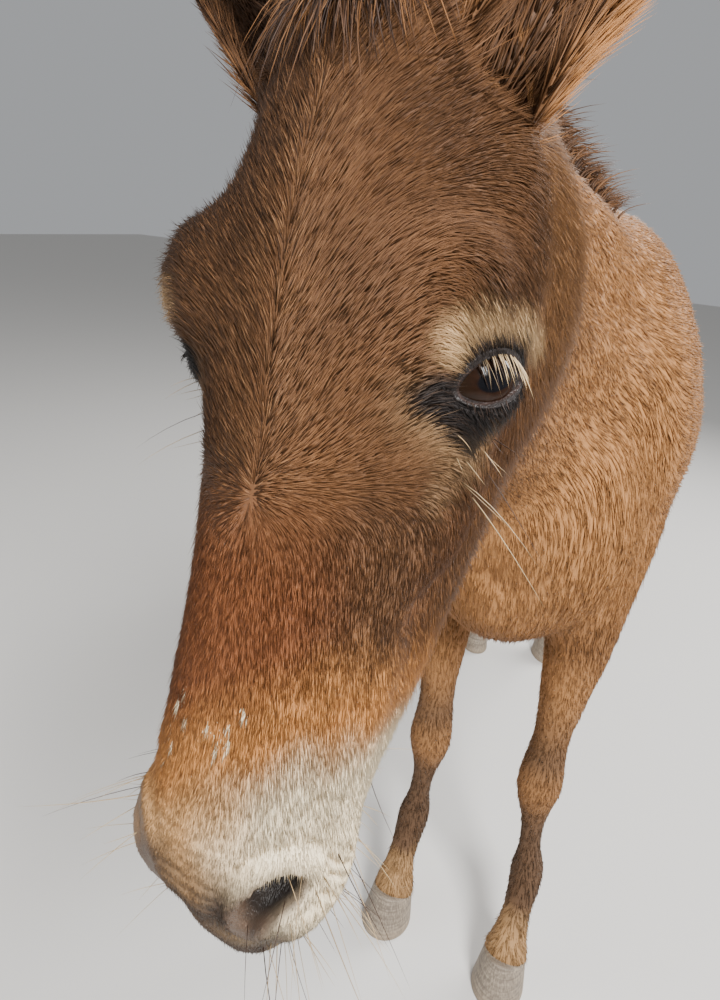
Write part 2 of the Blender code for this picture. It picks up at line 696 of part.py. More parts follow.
def mouth_groove():
    """The line of the mouth, a thin wedge that runs from one corner round the lips to the other."""
    half = [(0.058, 0.424, -0.073), (0.063, 0.440, -0.075), (0.061, 0.459, -0.077)]
    half += [(0.053, 0.478, -0.077), (0.039, 0.494, -0.077), (0.018, 0.504, -0.077)]
    places = half + [(0.0, 0.5075, -0.077)] + [(-x, down, out) for x, down, out in half[::-1]]
    path = [head_point(*place) for place in places]
    inward = [head_point(0, 0.450, -0.080) - point for point in path]
    radii = [(0.003, 0.0008)] + [(0.009, 0.0019)] * (len(path) - 2) + [(0.003, 0.0008)]
    return faced_out(tube("mouth_groove", path, radii, inward, segments=6))


def make_head(fine):
    """The head with its eye sockets, lids, nostrils, mouth line and forelock, and its two eyes."""
    head = fine
    head.name = "head"
    spaces, eyes = [mouth_groove()], []
    for name, side in SIDES.items():
        centre, _ = eye_frame(side)
        spaces += [ball("socket", centre, EYE_RADIUS + 2 * GAP), lid_opening(side), nostril_space(side)]
        eyes.append((ball("eye_" + name, centre, EYE_RADIUS), "eye"))
    combined(head, spaces, "DIFFERENCE")
    return [(head, "coat")] + eyes


def forelock(seed):
    """Short dark locks between the ears."""
    draw = random.Random(seed)
    locks = []
    for k in range(9):
        x = -0.0215 + 0.0054 * k
        root = head_point(x, 0.015 + 0.008 * (k % 2) + draw.uniform(0, 0.003), -0.003 - abs(x) * 0.22)
        start = np.array([x * 9, -0.30 - 0.2 * draw.random(), 1.0]) @ HEAD
        fall = np.array([x * 12 + draw.uniform(-0.2, 0.2), 1.0, 0.16]) @ HEAD
        start, fall = start / np.linalg.norm(start), fall / np.linalg.norm(fall)
        length = 0.052 * draw.uniform(0.8, 1.15)
        locks.append(faced_out(lock("lock", root, start, fall, HEAD[2], length, 0.015, 0.007, 0.6, 4)))
    return locks


def with_forelock(head):
    """The head with the first arrangement of its forelock that fuses into a clean surface."""
    for seed in range(5, 25):
        trial = combined(copy_of(head, "head"), forelock(seed), "UNION")
        work = bmesh.new()
        work.from_mesh(trial.data)
        clean = all(edge.is_manifold for edge in work.edges)
        work.free()
        if clean:
            head.data = trial.data
            bpy.data.objects.remove(trial)
            return
        bpy.data.objects.remove(trial)


def crest_line(count):
    """Places, and the upward direction, along the crest of the neck from poll to withers."""
    neck = SWEEPS["neck"]
    for k in np.linspace(0.05, 0.84, count):
        at = (1 - k) * (neck.SAMPLES - 1)
        low = int(at)
        share = at - low
        centre = neck.centre[low] * (1 - share) + neck.centre[min(low + 1, neck.SAMPLES - 1)] * share
        yield k, centre, neck.front[low], neck.along[low]


def on_surface(point, way):
    """Where a line from inside the body leaves it."""
    low, high = 0.0, 0.4
    for _ in range(22):
        middle = (low + high) / 2
        if body_distance((point + way * middle)[None])[0] < 0:
            low = middle
        else:
            high = middle
    return point + way * low


def mane():
    """A short, thick mane that rises from the crest and falls over its left and right."""
    draw = random.Random(11)
    locks = []
    for index, (k, centre, up, along) in enumerate(crest_line(MANE_LOCKS)):
        lean = 0.10 * (1 if index % 2 else -1)
        way = up + np.array([lean, 0, 0])
        way /= np.linalg.norm(way)
        root = on_surface(centre, way)
        side = 1.0 if index % 2 else -1.0
        start = up + np.array([0.30 * side, 0, 0])
        start /= np.linalg.norm(start)
        fall = np.array([side * 0.8, draw.uniform(0.1, 0.5), 0.15 - 0.3 * draw.random()])
        fall /= np.linalg.norm(fall)
        length = (0.044 + 0.016 * math.sin(math.pi * k)) * draw.uniform(0.88, 1.12)
        out = np.cross(along, start)
        locks.append(faced_out(lock("lock", root, start, fall, out, length, 0.052, 0.010, 1.1, 4)))
    return locks


MANE_LOCKS = 42


def tail_hair():
    """The tail's long hair, in tiers of flat locks that hang from the dock."""
    draw = random.Random(23)
    dock = SWEEPS["dock"]
    locks = []
    for tier, (place, count, length) in enumerate(TAIL_TIERS):
        low = int(place * (dock.SAMPLES - 1))
        centre, along = dock.centre[low], dock.along[low]
        for k in range(count):
            turn = 2 * math.pi * (k + 0.5 * (tier % 2)) / count
            out = np.array([math.sin(turn), math.cos(turn), 0.0])
            out = out - along * (along @ out)
            out /= np.linalg.norm(out)
            start = out * 0.75 + along * 0.9
            start /= np.linalg.norm(start)
            fall = np.array([out[0] * 0.06, out[1] * 0.05, -1.0])
            fall /= np.linalg.norm(fall)
            root = centre + out * 0.012
            reach = length * draw.uniform(0.86, 1.10)
            locks.append(faced_out(lock("lock", root, start, fall, out, reach, 0.036, 0.013, 0.22, 6)))
    return locks


DOCK_START = 1.124
TAIL_TIERS = [(0.52, 7, 0.40), (0.72, 8, 0.42), (0.88, 7, 0.42)]


def make_tail(body):
    """Parts the dock from the croup and fuses the long hair to it."""
    low, high = (-0.1, DOCK_START, 0.5), (0.1, 1.4, 1.3)
    tail = combined(copy_of(body, "tail"), [box("dock_space", low, high)], "INTERSECT")
    combined(body, [box("dock_space", (low[0], low[1] - GAP, low[2]), high)], "DIFFERENCE")
    combined(tail, tail_hair(), "UNION")
    return tail


EAR_WAYS = {
    # the ear's long axis and the way its cup faces, in the head's own measures on its own side
    "left": ((0.42, -0.90, -0.05), (0.35, 0.15, 0.93)),
    "right": ((0.66, -0.75, 0.0), (0.15, 0.30, 0.94)),
}


def swollen(obj):
    """A helper copy of a node, grown by the gap that keeps nodes apart."""
    space = copy_of(obj, "space")
    swell = space.modifiers.new("swell", "DISPLACE")
    swell.strength = GAP
    swell.mid_level = 0.0
    return applied(space)


def make_ear(name, side, bases):
    """A long, cupped ear: a curled leaf of even thickness on a rounded root."""
    axis, cup = (np.array(way) * [side, 1, 1] for way in EAR_WAYS[name])
    axis = axis @ HEAD / np.linalg.norm(axis)
    cup = cup @ HEAD
    cup = cup - axis * (axis @ cup)
    cup /= np.linalg.norm(cup)
    across = np.cross(axis, cup)
    root = head_point(0.066 * side, 0.020, -0.066)
    outer, inner = [], []
    for k in range(EAR_RINGS):
        share = k / (EAR_RINGS - 1)
        half = 0.060 + 0.020 * math.sin(min(share / 0.55, 1.0) * math.pi / 2)
        half *= (1 - ((share - 0.45) / 0.56) ** 2.0) ** 0.75 if share > 0.45 else 1.0
        half = max(half, 0.006)
        radius = 0.027 + 0.020 * min(share / 0.7, 1.0)
        sweep = min(half / radius, math.radians(140))
        radius = half / sweep
        place = root + axis * EAR_LENGTH * share - cup * (0.010 * math.sin(math.pi * share))
        thick = 0.0055 - 0.0025 * share
        rows = ([], [])
        for j in range(EAR_POINTS):
            angle = sweep * (2 * j / (EAR_POINTS - 1) - 1)
            ray = -cup * math.cos(angle) + across * math.sin(angle)
            edge = 1.0 - 0.35 * abs(2 * j / (EAR_POINTS - 1) - 1) ** 3
            rows[0].append(place + ray * (radius + thick * edge / 2))
            rows[1].append(place + ray * (radius - thick * edge / 2))
        outer.append(rows[0])
        inner.append(rows[1])
    rings = [np.array(o + i[::-1]) for o, i in zip(outer, inner)]
    leaf = faced_out(new_object("ear_" + name, *rings_mesh(rings)))
    bulb = ball("bulb", root - axis * 0.002 - cup * 0.006, 0.0305)
    combined(leaf, [bulb], "UNION")
    for base in bases:
        combined(leaf, [swollen(base)], "DIFFERENCE")
    return leaf


EAR_RINGS, EAR_POINTS = 12, 9


def main():
    clear_scene()
    finishes = {slot: material(slot, 0.35 if slot == "eye" else 0.7) for slot in COLOURS}
    body = blended_mesh("torso", list(SWEEPS), COARSE_VOXEL, BODY_KEEP)
    fine = blended_mesh("head_fine", ["head", "neck"], FINE_VOXEL, HEAD_KEEP)
    nodes = []
    throat, nape = head_point(0, 0.030, -0.10), np.array([0, -0.935, -0.355]) @ HEAD
    combined(fine, [ahead_of("head_space", throat - nape * GAP / 2, -nape, 0.20, 0.75)], "INTERSECT")
    combined(body, [ahead_of("head_space", throat + nape * GAP / 2, -nape, 0.20, 0.75)], "DIFFERENCE")
    nodes += make_head(fine)
    neck = parted(body, "neck", (0, -0.105, 1.075), (0, -0.76, 0.65))
    nodes += make_feet(body)
    tail = make_tail(body)
    for name, side in SIDES.items():
        nodes.append((make_ear(name, side, (nodes[0][0], neck)), "coat"))
    nodes[0][0].name = "head"
    with_forelock(nodes[0][0])
    combined(neck, mane(), "UNION")
    for other in (nodes[0][0], body):
        combined(neck, [swollen(other)], "DIFFERENCE")
    nodes += [(neck, "coat"), (body, "coat"), (tail, "mane_hair")]
    for obj, slot in nodes:
        obj.data.materials.clear()
        obj.data.materials.append(finishes[slot])
        for vertex in obj.data.vertices:
            vertex.co.x -= side_bend(vertex.co.y)
        obj.location = (-CENTRE_X, -CENTRE_Y, 0)


main()
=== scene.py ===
"""The looks of a life-size mule that stands with its neck stretched out and its head hung low.

The mule faces -Y, its left side is +X and the ground is Z = 0. The skin is meshed over the same
named rings and forms as the solids and lies just inside them. The coat, mane, tail, lashes and
feelers grow from it by one tree of geometry nodes that reads the lie of the hair from the skin.
"""

import math
from types import SimpleNamespace

import bmesh
import bpy
import numpy as np
from bpy.props import FloatProperty, FloatVectorProperty, IntProperty, PointerProperty
from mathutils import Matrix, Vector


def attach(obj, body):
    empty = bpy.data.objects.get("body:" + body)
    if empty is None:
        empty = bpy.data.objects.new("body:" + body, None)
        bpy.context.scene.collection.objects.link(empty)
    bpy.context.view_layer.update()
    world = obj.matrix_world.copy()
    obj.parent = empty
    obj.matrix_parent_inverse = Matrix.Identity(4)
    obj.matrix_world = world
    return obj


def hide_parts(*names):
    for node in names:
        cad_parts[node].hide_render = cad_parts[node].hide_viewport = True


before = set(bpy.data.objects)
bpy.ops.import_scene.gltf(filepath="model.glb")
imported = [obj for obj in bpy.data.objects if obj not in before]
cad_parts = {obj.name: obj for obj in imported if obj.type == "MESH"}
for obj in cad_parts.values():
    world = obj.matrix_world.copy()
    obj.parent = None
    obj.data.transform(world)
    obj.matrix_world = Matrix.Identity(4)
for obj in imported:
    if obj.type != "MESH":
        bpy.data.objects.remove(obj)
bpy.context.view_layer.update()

bl_info = {
    "name": "Standing mule",
    "version": (1, 0, 0),
    "blender": (4, 5, 0),
    "location": "View3D > Sidebar > Mule",
    "description": "Builds the skin, coat, eyes, hooves and long hair of a life-size mule",
    "category": "Add Mesh",
}

MIDDLE = np.array([-0.0810, 0.2405, 0.0])  # the middle of the animal in the frame of the rings
POLL = np.array([-0.012, -0.649, 1.378])  # top of the skull between the ears
HEAD_YAW, HEAD_NOD, HEAD_TILT = -5.0, 16.7, -2.9  # degrees: turned left, nose forward, rolled
EYE_RADIUS = 0.0225
LID_THICKNESS = 0.003
EAR_LENGTH = 0.255
HOOF_GAP_X = 0.114  # from the midline to the middle of each hoof
FRONT_STEP = {"left": -0.008, "right": 0.008}  # how far each front foot stands behind its line
HIND_STEP = {"left": 0.035, "right": -0.035}
BEND, BEND_START, BEND_EASE = 0.23, 0.12, 0.3  # the trunk turns to the right behind the shoulders


SIDES = {"left": 1.0, "right": -1.0}
ANGLES = np.radians([0.0, 45.0, 90.0, 135.0, 180.0])


def metres(rows):
    """Rows of millimetres, in metres."""
    return np.array(rows) / 1000


# Every ring is in millimetres.
# Rings of the trunk: y, height of the middle, then the radius up, up-side, side, low-side, down
TORSO_RINGS = metres([
    (-75, 930, 160, 150, 136, 158, 236),
    (-20, 950, 230, 186, 164, 190, 315),
    (60, 960, 290, 210, 178, 203, 347),
    (160, 960, 305, 216, 190, 214, 345),
    (300, 957, 287, 228, 208, 228, 320),
    (460, 955, 274, 237, 221, 240, 295),
    (610, 963, 269, 238, 219, 229, 265),
    (740, 990, 262, 236, 208, 200, 215),
    (850, 1020, 243, 218, 192, 182, 192),
    (935, 1040, 190, 174, 155, 148, 165),
])

# Rings of the neck: x, y, z, then the radius at the crest, upper side, side, lower side, throat
NECK_RINGS = metres([
    (0, 130, 1055, 190, 150, 130, 140, 170),
    (0, -20, 1085, 190, 140, 122, 135, 190),
    (0, -150, 1125, 182, 120, 102, 120, 185),
    (-1, -290, 1165, 160, 102, 86, 102, 168),
    (-3, -420, 1205, 140, 92, 75, 90, 145),
    (-6, -510, 1240, 122, 86, 71, 83, 124),
    (-9, -565, 1262, 104, 80, 68, 78, 112),
    (-11, -600, 1276, 60, 55, 50, 55, 70),
])

# Rings of the head along the face: distance from the poll, depth of the middle, five radii
HEAD_RINGS = metres([
    (-15, 80, 48, 44, 38, 46, 55),
    (5, 82, 69, 55, 43, 60, 82),
    (42, 92, 85, 72, 55, 79, 112),
    (87, 100, 98, 94, 74, 97, 134),
    (133, 104, 104, 108, 84, 104, 146),
    (180, 102, 102, 104, 82, 102, 148),
    (225, 97, 94, 90, 74, 94, 144),
    (271, 90, 86, 80, 67, 86, 136),
    (317, 84, 80, 74, 63, 79, 123),
    (363, 78, 76, 71, 62, 73, 109),
    (405, 72, 71, 68, 60, 66, 92),
    (443, 67, 63, 64, 58, 61, 74),
    (472, 66, 50, 56, 53, 53, 57),
    (492, 68, 30, 35, 38, 37, 34),
])

# Rings of a front leg: height, y, side offset, then radius to the front, 45, side, 135, back
FORELEG_RINGS = metres([
    (860, 0, -12, 105, 74, 60, 74, 105),
    (760, 5, -8, 90, 74, 62, 75, 100),
    (680, 4, -7, 70, 61, 54, 62, 78),
    (580, 2, -10, 50, 45, 41, 46, 56),
    (490, 0, -13, 36, 33, 32, 34, 38),
    (445, -2, -14, 38, 37, 36, 36, 37),
    (410, -4, -14, 42, 41, 39, 39, 39),
    (375, -2, -14, 37, 37, 36, 38, 41),
    (335, 0, -12, 26.5, 26.5, 26, 29, 35),
    (240, 0, -5, 24.5, 24, 23, 27, 34),
    (203, 3, -2, 31, 31, 31, 35, 41),
    (170, -4, 0, 30, 30, 30, 34, 40),
    (125, -30, 0, 27, 27, 27, 28, 30),
    (90, -47, 0, 31, 32, 33, 35, 37),
    (60, -58, 0, 38, 40, 41, 42, 43),
    (20, -66, 0, 30, 30, 30, 30, 30),
])

# Rings of a hind leg, in the same order
HINDLEG_RINGS = metres([
    (1080, 960, -30, 130, 95, 75, 95, 140),
    (960, 930, -18, 145, 100, 78, 100, 150),
    (850, 905, -8, 125, 85, 67, 85, 125),
    (760, 910, 0, 98, 68, 55, 66, 85),
    (670, 945, 0, 72, 54, 45, 50, 62),
    (590, 990, 0, 49, 41, 36, 40, 52),
    (530, 1020, 0, 43, 41, 37, 41, 55),
    (480, 1028, 0, 44, 43, 39, 42, 48),
    (430, 1030, 0, 37, 36, 34, 36, 40),
    (370, 1030, 0, 28, 27, 25, 28, 35),
    (250, 1024, 0, 25, 24, 23, 26, 33),
    (208, 1022, 0, 30, 30, 29, 33, 39),
    (172, 1014, 0, 28, 28, 28, 32, 37),
    (125, 990, 0, 25, 25, 25, 26, 28),
    (90, 975, 0, 30, 31, 31, 33, 34),
    (60, 966, 0, 37, 38, 38, 40, 41),
    (20, 960, 0, 30, 30, 30, 30, 30),
])

# Rings of the fleshy tail dock: y, z, radius
DOCK_RINGS = metres([
    (1020, 1165, 45),
    (1085, 1172, 36),
    (1135, 1150, 31),
    (1165, 1095, 28),
    (1178, 1010, 24),
    (1182, 920, 19),
    (1182, 860, 12),
])


def lengths(rows):
    """The length of each row."""
    return np.linalg.norm(rows, axis=1)


def through(stations, rows, count):
    """Rows of numbers carried smoothly through their stations and read at even steps."""
    rows = np.asarray(rows, float)
    stations = np.asarray(stations, float)
    slopes = np.gradient(rows, stations, axis=0)
    at = np.linspace(stations[0], stations[-1], count)
    left = np.clip(np.searchsorted(stations, at, side="right") - 1, 0, len(stations) - 2)
    step = (stations[left + 1] - stations[left])[:, None]
    u = (at - stations[left])[:, None] / step
    start, end = rows[left], rows[left + 1]
    slope_in, slope_out = slopes[left] * step, slopes[left + 1] * step
    curve = start * (1 + 2 * u) * (1 - u) ** 2 + end * u * u * (3 - 2 * u)
    return curve + slope_in * u * (1 - u) ** 2 + slope_out * u * u * (u - 1)


class Sweep:
    """A body of rings along a curve. Each ring has five radii from its front round to its back."""

    SAMPLES = 72

    def __init__(self, centres, radii, front):
        centres = np.asarray(centres, float)
        stations = np.r_[0, np.cumsum(lengths(np.diff(centres, axis=0)))]
        self.centre = through(stations, centres, self.SAMPLES)
        rings = through(stations, radii, self.SAMPLES)
        basis = np.cos(np.outer(ANGLES, np.arange(5)))
        self.waves = np.linalg.solve(basis, rings.T).T
        along = np.gradient(self.centre, axis=0)
        self.along = along / lengths(along)[:, None]
        front = np.asarray(front, float) - self.along * (self.along @ np.asarray(front, float))[:, None]
        self.front = front / lengths(front)[:, None]
        self.side = np.cross(self.along, self.front)
        self.step = stations[-1] / (self.SAMPLES - 1)

    def read(self, points):
        """The place of each point along the sweep, with its offsets there."""
        nearest = np.empty(len(points), int)
        for start in range(0, len(points), 20000):
            part = points[start:start + 20000]
            apart = (part ** 2).sum(1)[:, None] - 2 * part @ self.centre.T + (self.centre ** 2).sum(1)
            nearest[start:start + 20000] = apart.argmin(1)
        offset = points - self.centre[nearest]
        shift = (offset * self.along[nearest]).sum(1) / self.step
        place = np.clip(nearest + np.clip(shift, -1, 1), 0, self.SAMPLES - 1.000001)
        low = place.astype(int)
        share = (place - low)[:, None]

        def between(values):
            return values[low] * (1 - share) + values[low + 1] * share

        return points - between(self.centre), between

    def distance(self, points):
        """Roughly how far each point lies outside the sweep."""
        offset, between = self.read(points)
        ahead = (offset * between(self.along)).sum(1)
        front = (offset * between(self.front)).sum(1)
        side = np.abs((offset * between(self.side)).sum(1))
        reach = np.hypot(front, side)
        angle = np.arctan2(side, front)
        waves = between(self.waves)
        radius = (waves * np.cos(np.outer(angle, np.arange(5)))).sum(1)
        size = np.hypot(reach, ahead) + 1e-9
        return size - waves[:, 0] - (radius - waves[:, 0]) * reach / size

    def shell(self, segments, every):
        """Points and faces of a closed tube over the rings."""
        last = self.SAMPLES - 1
        rings = [(k, 0.0) for k in range(0, last, every)] + [(last, 0.0)]
        rings = [(0, -turn) for turn in (1.4, 1.0, 0.5)] + rings + [(last, turn) for turn in (0.5, 1.0, 1.4)]
        turns = np.linspace(0, 2 * math.pi, segments, endpoint=False)
        points = []
        for k, tip in rings:
            radius = (np.cos(np.outer(turns, np.arange(5))) * self.waves[k]).sum(1) * math.cos(tip)
            ring = np.outer(np.cos(turns) * radius, self.front[k])
            middle = self.centre[k] + self.along[k] * self.waves[k][0] * math.sin(tip)
            points.append(middle + ring + np.outer(np.sin(turns) * radius, self.side[k]))
        return rings_mesh(points)


def rings_mesh(rings):
    """Points and faces of a closed tube through rings of equal count, with flat ends."""
    count = len(rings[0])
    faces = [tuple(range(count))[::-1]]
    for k in range(len(rings) - 1):
        low, high = k * count, (k + 1) * count
        for j in range(count):
            after = (j + 1) % count
            faces.append((low + j, low + after, high + after, high + j))
    faces.append(tuple(range((len(rings) - 1) * count, len(rings) * count)))
    return np.concatenate(rings), faces


def blend(first, second, width):
    """The smaller of two distances, rounded where they meet."""
    share = np.clip(0.5 + 0.5 * (second - first) / width, 0, 1)
    return second * (1 - share) + first * share - width * share * (1 - share)


def ellipsoid(points, centre, radii):
    """Roughly how far each point lies outside an ellipsoid."""
    offset = points - np.asarray(centre)
    radii = np.asarray(radii)
    near = lengths(offset / radii)
    slope = lengths(offset / radii ** 2) + 1e-9
    return np.where(near < 1, (near - 1) * radii.min(), near * (near - 1) / slope)


def head_axes():
    """The head's own left, down-the-face and out-of-the-face directions."""
    yaw, nod, tilt = (math.radians(angle) for angle in (HEAD_YAW, HEAD_NOD, HEAD_TILT))
    left = np.array([math.cos(yaw) * math.cos(tilt), math.sin(yaw) * math.cos(tilt), -math.sin(tilt)])
    ahead = np.array([math.sin(yaw), -math.cos(yaw), 0.0])
    down = ahead * math.sin(nod) - np.array([0, 0, 1]) * math.cos(nod)
    down -= left * (left @ down)
    down /= np.linalg.norm(down)
    return np.array([left, down, np.cross(down, left)])


HEAD = head_axes()


def head_point(x, down, out):
    """A place in the animal's frame from the head's own three measures."""
    return POLL + np.array([x, down, out]) @ HEAD


def head_points(rows):
    """Places in the animal's frame from rows of the head's own three measures."""
    return POLL + rows @ HEAD


def in_head(points):
    """The head's own measures of points in the animal's frame."""
    return (points - POLL) @ HEAD.T


# The eye, in the head's own measures on its left side
EYE_CENTRE = np.array([0.077, 0.178, -0.0595])
EYE_OUT = np.array([0.84, -0.1, 0.53]) / np.linalg.norm([0.84, -0.1, 0.53])
EYE_ALONG = np.array([0.42, -0.47, -0.77])
EYE_ALONG = EYE_ALONG - EYE_OUT * (EYE_ALONG @ EYE_OUT)
EYE_ALONG /= np.linalg.norm(EYE_ALONG)
EYE_UP = np.cross(EYE_OUT, EYE_ALONG)
EYE_UP *= -np.sign(EYE_UP[1])
EYE_HALF_LENGTH, EYE_UPPER, EYE_LOWER = 0.027, 0.01, 0.011

HEAD_FORMS = [
    # centre, radii and blend of each ellipsoid, in the head's own measures on its left side
    ((0.077, 0.178, -0.0595), (EYE_RADIUS + LID_THICKNESS,) * 3, 0.02),
    ((0.07, 0.145, -0.03), (0.027, 0.03, 0.02), 0.03),
    ((0.076, 0.112, -0.072), (0.018, 0.052, 0.018), 0.03),
    ((0.06, 0.23, -0.084), (0.022, 0.048, 0.016), 0.03),
    ((0.046, 0.125, -0.155), (0.042, 0.08, 0.08), 0.035),
    ((0.056, 0.017, -0.062), (0.031, 0.034, 0.034), 0.03),
    ((0.04, 0.452, -0.045), (0.024, 0.034, 0.028), 0.016),
    ((0.0385, 0.438, -0.066), (0.023, 0.04, 0.014), 0.016),
    ((0.0, 0.484, -0.054), (0.043, 0.02, 0.024), 0.014),
    ((0.0, 0.468, -0.1), (0.038, 0.024, 0.018), 0.012),
    ((0.0, 0.44, -0.124), (0.028, 0.03, 0.018), 0.014),
]

BODY_FORMS = [
    # centre, radii and blend of each muscle on the left side of the trunk
    ((0.07, -0.11, 0.9), (0.075, 0.095, 0.12), 0.08),
    ((0.098, 0.045, 1.0), (0.066, 0.095, 0.15), 0.08),
    ((0.1, 0.06, 0.85), (0.065, 0.1, 0.11), 0.07),
    ((0.1, 0.88, 1.0), (0.084, 0.17, 0.17), 0.08),
    ((0.1, 0.97, 0.96), (0.07, 0.1, 0.15), 0.07),
    ((0.1, 0.78, 0.85), (0.06, 0.07, 0.08), 0.06),
    ((0.0, 0.12, 1.19), (0.05, 0.15, 0.07), 0.08),
]


def leg(rings, side, step, hoof_x):
    """The sweep of one leg on its side of the body."""
    centres = []
    for height, y, inward, *_ in rings:
        centres.append((side * (hoof_x + inward), y + step * min(1.0, max(0.0, 1 - height / 0.8)), height))
    return Sweep(centres, [ring[3:] for ring in rings], (0, -1, 0))


def all_sweeps():
    """Every sweep of the body, by name."""
    sweeps = {
        "torso": Sweep([(0, r[0], r[1]) for r in TORSO_RINGS], [r[2:] for r in TORSO_RINGS], (0, 0, 1)),
        "neck": Sweep([r[:3] for r in NECK_RINGS], [r[3:] for r in NECK_RINGS], (0, -0.3, 1)),
        "head": Sweep([head_point(0, r[0], -r[1]) for r in HEAD_RINGS], [r[2:] for r in HEAD_RINGS], HEAD[2]),
        "dock": Sweep([(0, r[0], r[1]) for r in DOCK_RINGS], [(r[2],) * 5 for r in DOCK_RINGS], (0, 0.5, 1)),
    }
    for name, side in SIDES.items():
        sweeps["foreleg_" + name] = leg(FORELEG_RINGS, side, FRONT_STEP[name], HOOF_GAP_X)
        sweeps["hindleg_" + name] = leg(HINDLEG_RINGS, side, HIND_STEP[name], HOOF_GAP_X)
    return sweeps


SWEEPS = all_sweeps()


def head_distance(points):
    """The blended head, with its brows, cheeks, nostril wings, lips and chin."""
    value = SWEEPS["head"].distance(points)
    local = in_head(points)
    local[:, 0] = np.abs(local[:, 0])
    for centre, radii, width in HEAD_FORMS:
        value = blend(value, ellipsoid(local, centre, radii), width)
    return value


def body_distance(points):
    """The whole blended animal, without ears, eyes, hooves and long hair."""
    value = blend(SWEEPS["torso"].distance(points), SWEEPS["neck"].distance(points), 0.1)
    mirrored = points * [1, 1, 1]
    mirrored[:, 0] = np.abs(mirrored[:, 0])
    for centre, radii, width in BODY_FORMS:
        value = blend(value, ellipsoid(mirrored, centre, radii), width)
    for name in SIDES:
        value = blend(value, SWEEPS["foreleg_" + name].distance(points), 0.045)
        value = blend(value, SWEEPS["hindleg_" + name].distance(points), 0.055)
    value = blend(value, SWEEPS["dock"].distance(points), 0.03)
    return blend(value, head_distance(points), 0.045)
def rise(low, high, value):
    """A smooth step from 0 at low to 1 at high."""
    share = np.clip((np.asarray(value, float) - low) / (high - low), 0, 1)
    return share * share * (3 - 2 * share)


def hump(value, centre, width):
    """A soft bump of height 1 around a centre."""
    return np.exp(-(((np.asarray(value, float) - centre) / width) ** 2))


def unit(rows):
    """Rows scaled to length 1."""
    rows = np.asarray(rows, float)
    return rows / np.maximum(np.linalg.norm(rows, axis=-1, keepdims=True), 1e-9)


def side_bend(y):
    """How far the trunk swings to its right at a distance behind the front legs, and how fast."""
    behind = np.maximum(y - BEND_START, 0.0)
    eased = behind ** 2 / (2 * BEND_EASE)
    swing = BEND * np.where(behind < BEND_EASE, eased, behind - BEND_EASE / 2)
    return swing, BEND * np.minimum(behind / BEND_EASE, 1.0)


def placed(points):
    """Points of the straight animal of the rings, carried to where they are in the model."""
    points = np.array(points, float)
    points[:, 0] -= side_bend(points[:, 1])[0]
    return points - MIDDLE


def unplaced(points):
    """Points of the model, carried back to the straight animal of the rings."""
    points = np.asarray(points, float) + MIDDLE
    points[:, 0] += side_bend(points[:, 1])[0]
    return points


def swung(points, ways):
    """Directions in the straight animal, turned as the trunk's bend turns them."""
    ways = np.array(ways, float)
    ways[:, 0] -= side_bend(points[:, 1])[1] * ways[:, 1]
    return unit(ways)


def columns(*values):
    """Rows made of columns of numbers. A single number fills its column."""
    return np.stack(np.broadcast_arrays(*values), axis=1)


# Meshes

def new_object(name, data):
    """A new object in the scene."""
    obj = bpy.data.objects.new(name, data)
    bpy.context.scene.collection.objects.link(obj)
    return obj


def mesh_object(name, points, faces):
    """A mesh object from points of the straight animal."""
    mesh = bpy.data.meshes.new(name)
    mesh.from_pydata(placed(points).tolist(), [], [tuple(face) for face in faces])
    mesh.update()
    return new_object(name, mesh)


def points_of(obj):
    """The points of a mesh, in the straight animal."""
    flat = np.empty(len(obj.data.vertices) * 3, np.float32)
    obj.data.vertices.foreach_get("co", flat)
    return unplaced(flat.reshape(-1, 3))


def normals_of(obj):
    """The outward direction at each point of a mesh."""
    flat = np.empty(len(obj.data.vertices) * 3, np.float32)
    obj.data.vertex_normals.foreach_get("vector", flat)
    return flat.reshape(-1, 3).astype(float)


def put_points(obj, points):
    """Moves the points of a mesh."""
    obj.data.vertices.foreach_set("co", placed(points).astype(np.float32).ravel())
    obj.data.update()


def applied(obj):
    """The object with its modifiers made part of a new mesh."""
    graph = bpy.context.evaluated_depsgraph_get()
    mesh = bpy.data.meshes.new_from_object(obj.evaluated_get(graph))
    obj.modifiers.clear()
    old = obj.data
    obj.data = mesh
    if old.users == 0:
        bpy.data.meshes.remove(old)
    return obj


def modified(obj, kind, **settings):
    """The object with one modifier made part of its mesh."""
    modifier = obj.modifiers.new(kind.lower(), kind)
    for name, value in settings.items():
        setattr(modifier, name, value)
    return applied(obj)


def reworked(obj, change):
    """The object after a change to its points and faces."""
    work = bmesh.new()
    work.from_mesh(obj.data)
    change(work)
    work.to_mesh(obj.data)
    work.free()
    return obj


def turn_out(work):
    """Turns the faces of a closed mesh outwards."""
    bmesh.ops.recalc_face_normals(work, faces=work.faces[:])


def remeshed(obj, voxel):
    """The object meshed evenly again."""
    return modified(obj, "REMESH", mode="VOXEL", voxel_size=voxel)


def relaxed(obj, times, factor=0.5):
    """The object with its mesh smoothed a little."""
    return modified(obj, "SMOOTH", factor=factor, iterations=times)


def lofts(name, parts):
    """The closed tubes of some sweeps, in one object."""
    points, faces = [], []
    for part in parts:
        made, sides = SWEEPS[part].shell(28, 3)
        start = sum(len(p) for p in points)
        points.append(made)
        faces.extend(tuple(k + start for k in face) for face in sides)
    return mesh_object(name, np.concatenate(points), faces)


def settle(points, distance, rounds, which=None):
    """Points moved along the slope of a distance until they lie on its surface."""
    small = 0.0006
    which = np.ones(len(points), bool) if which is None else which
    moving = points[which]
    for _ in range(rounds):
        here = distance(moving)
        slope = np.stack([(distance(moving + step) - here) / small for step in np.eye(3) * small], axis=1)
        size = np.maximum((slope ** 2).sum(1), 0.2)
        moving = moving - slope * np.clip(here / size, -0.012, 0.012)[:, None]
    points = points.copy()
    points[which] = moving
    return points


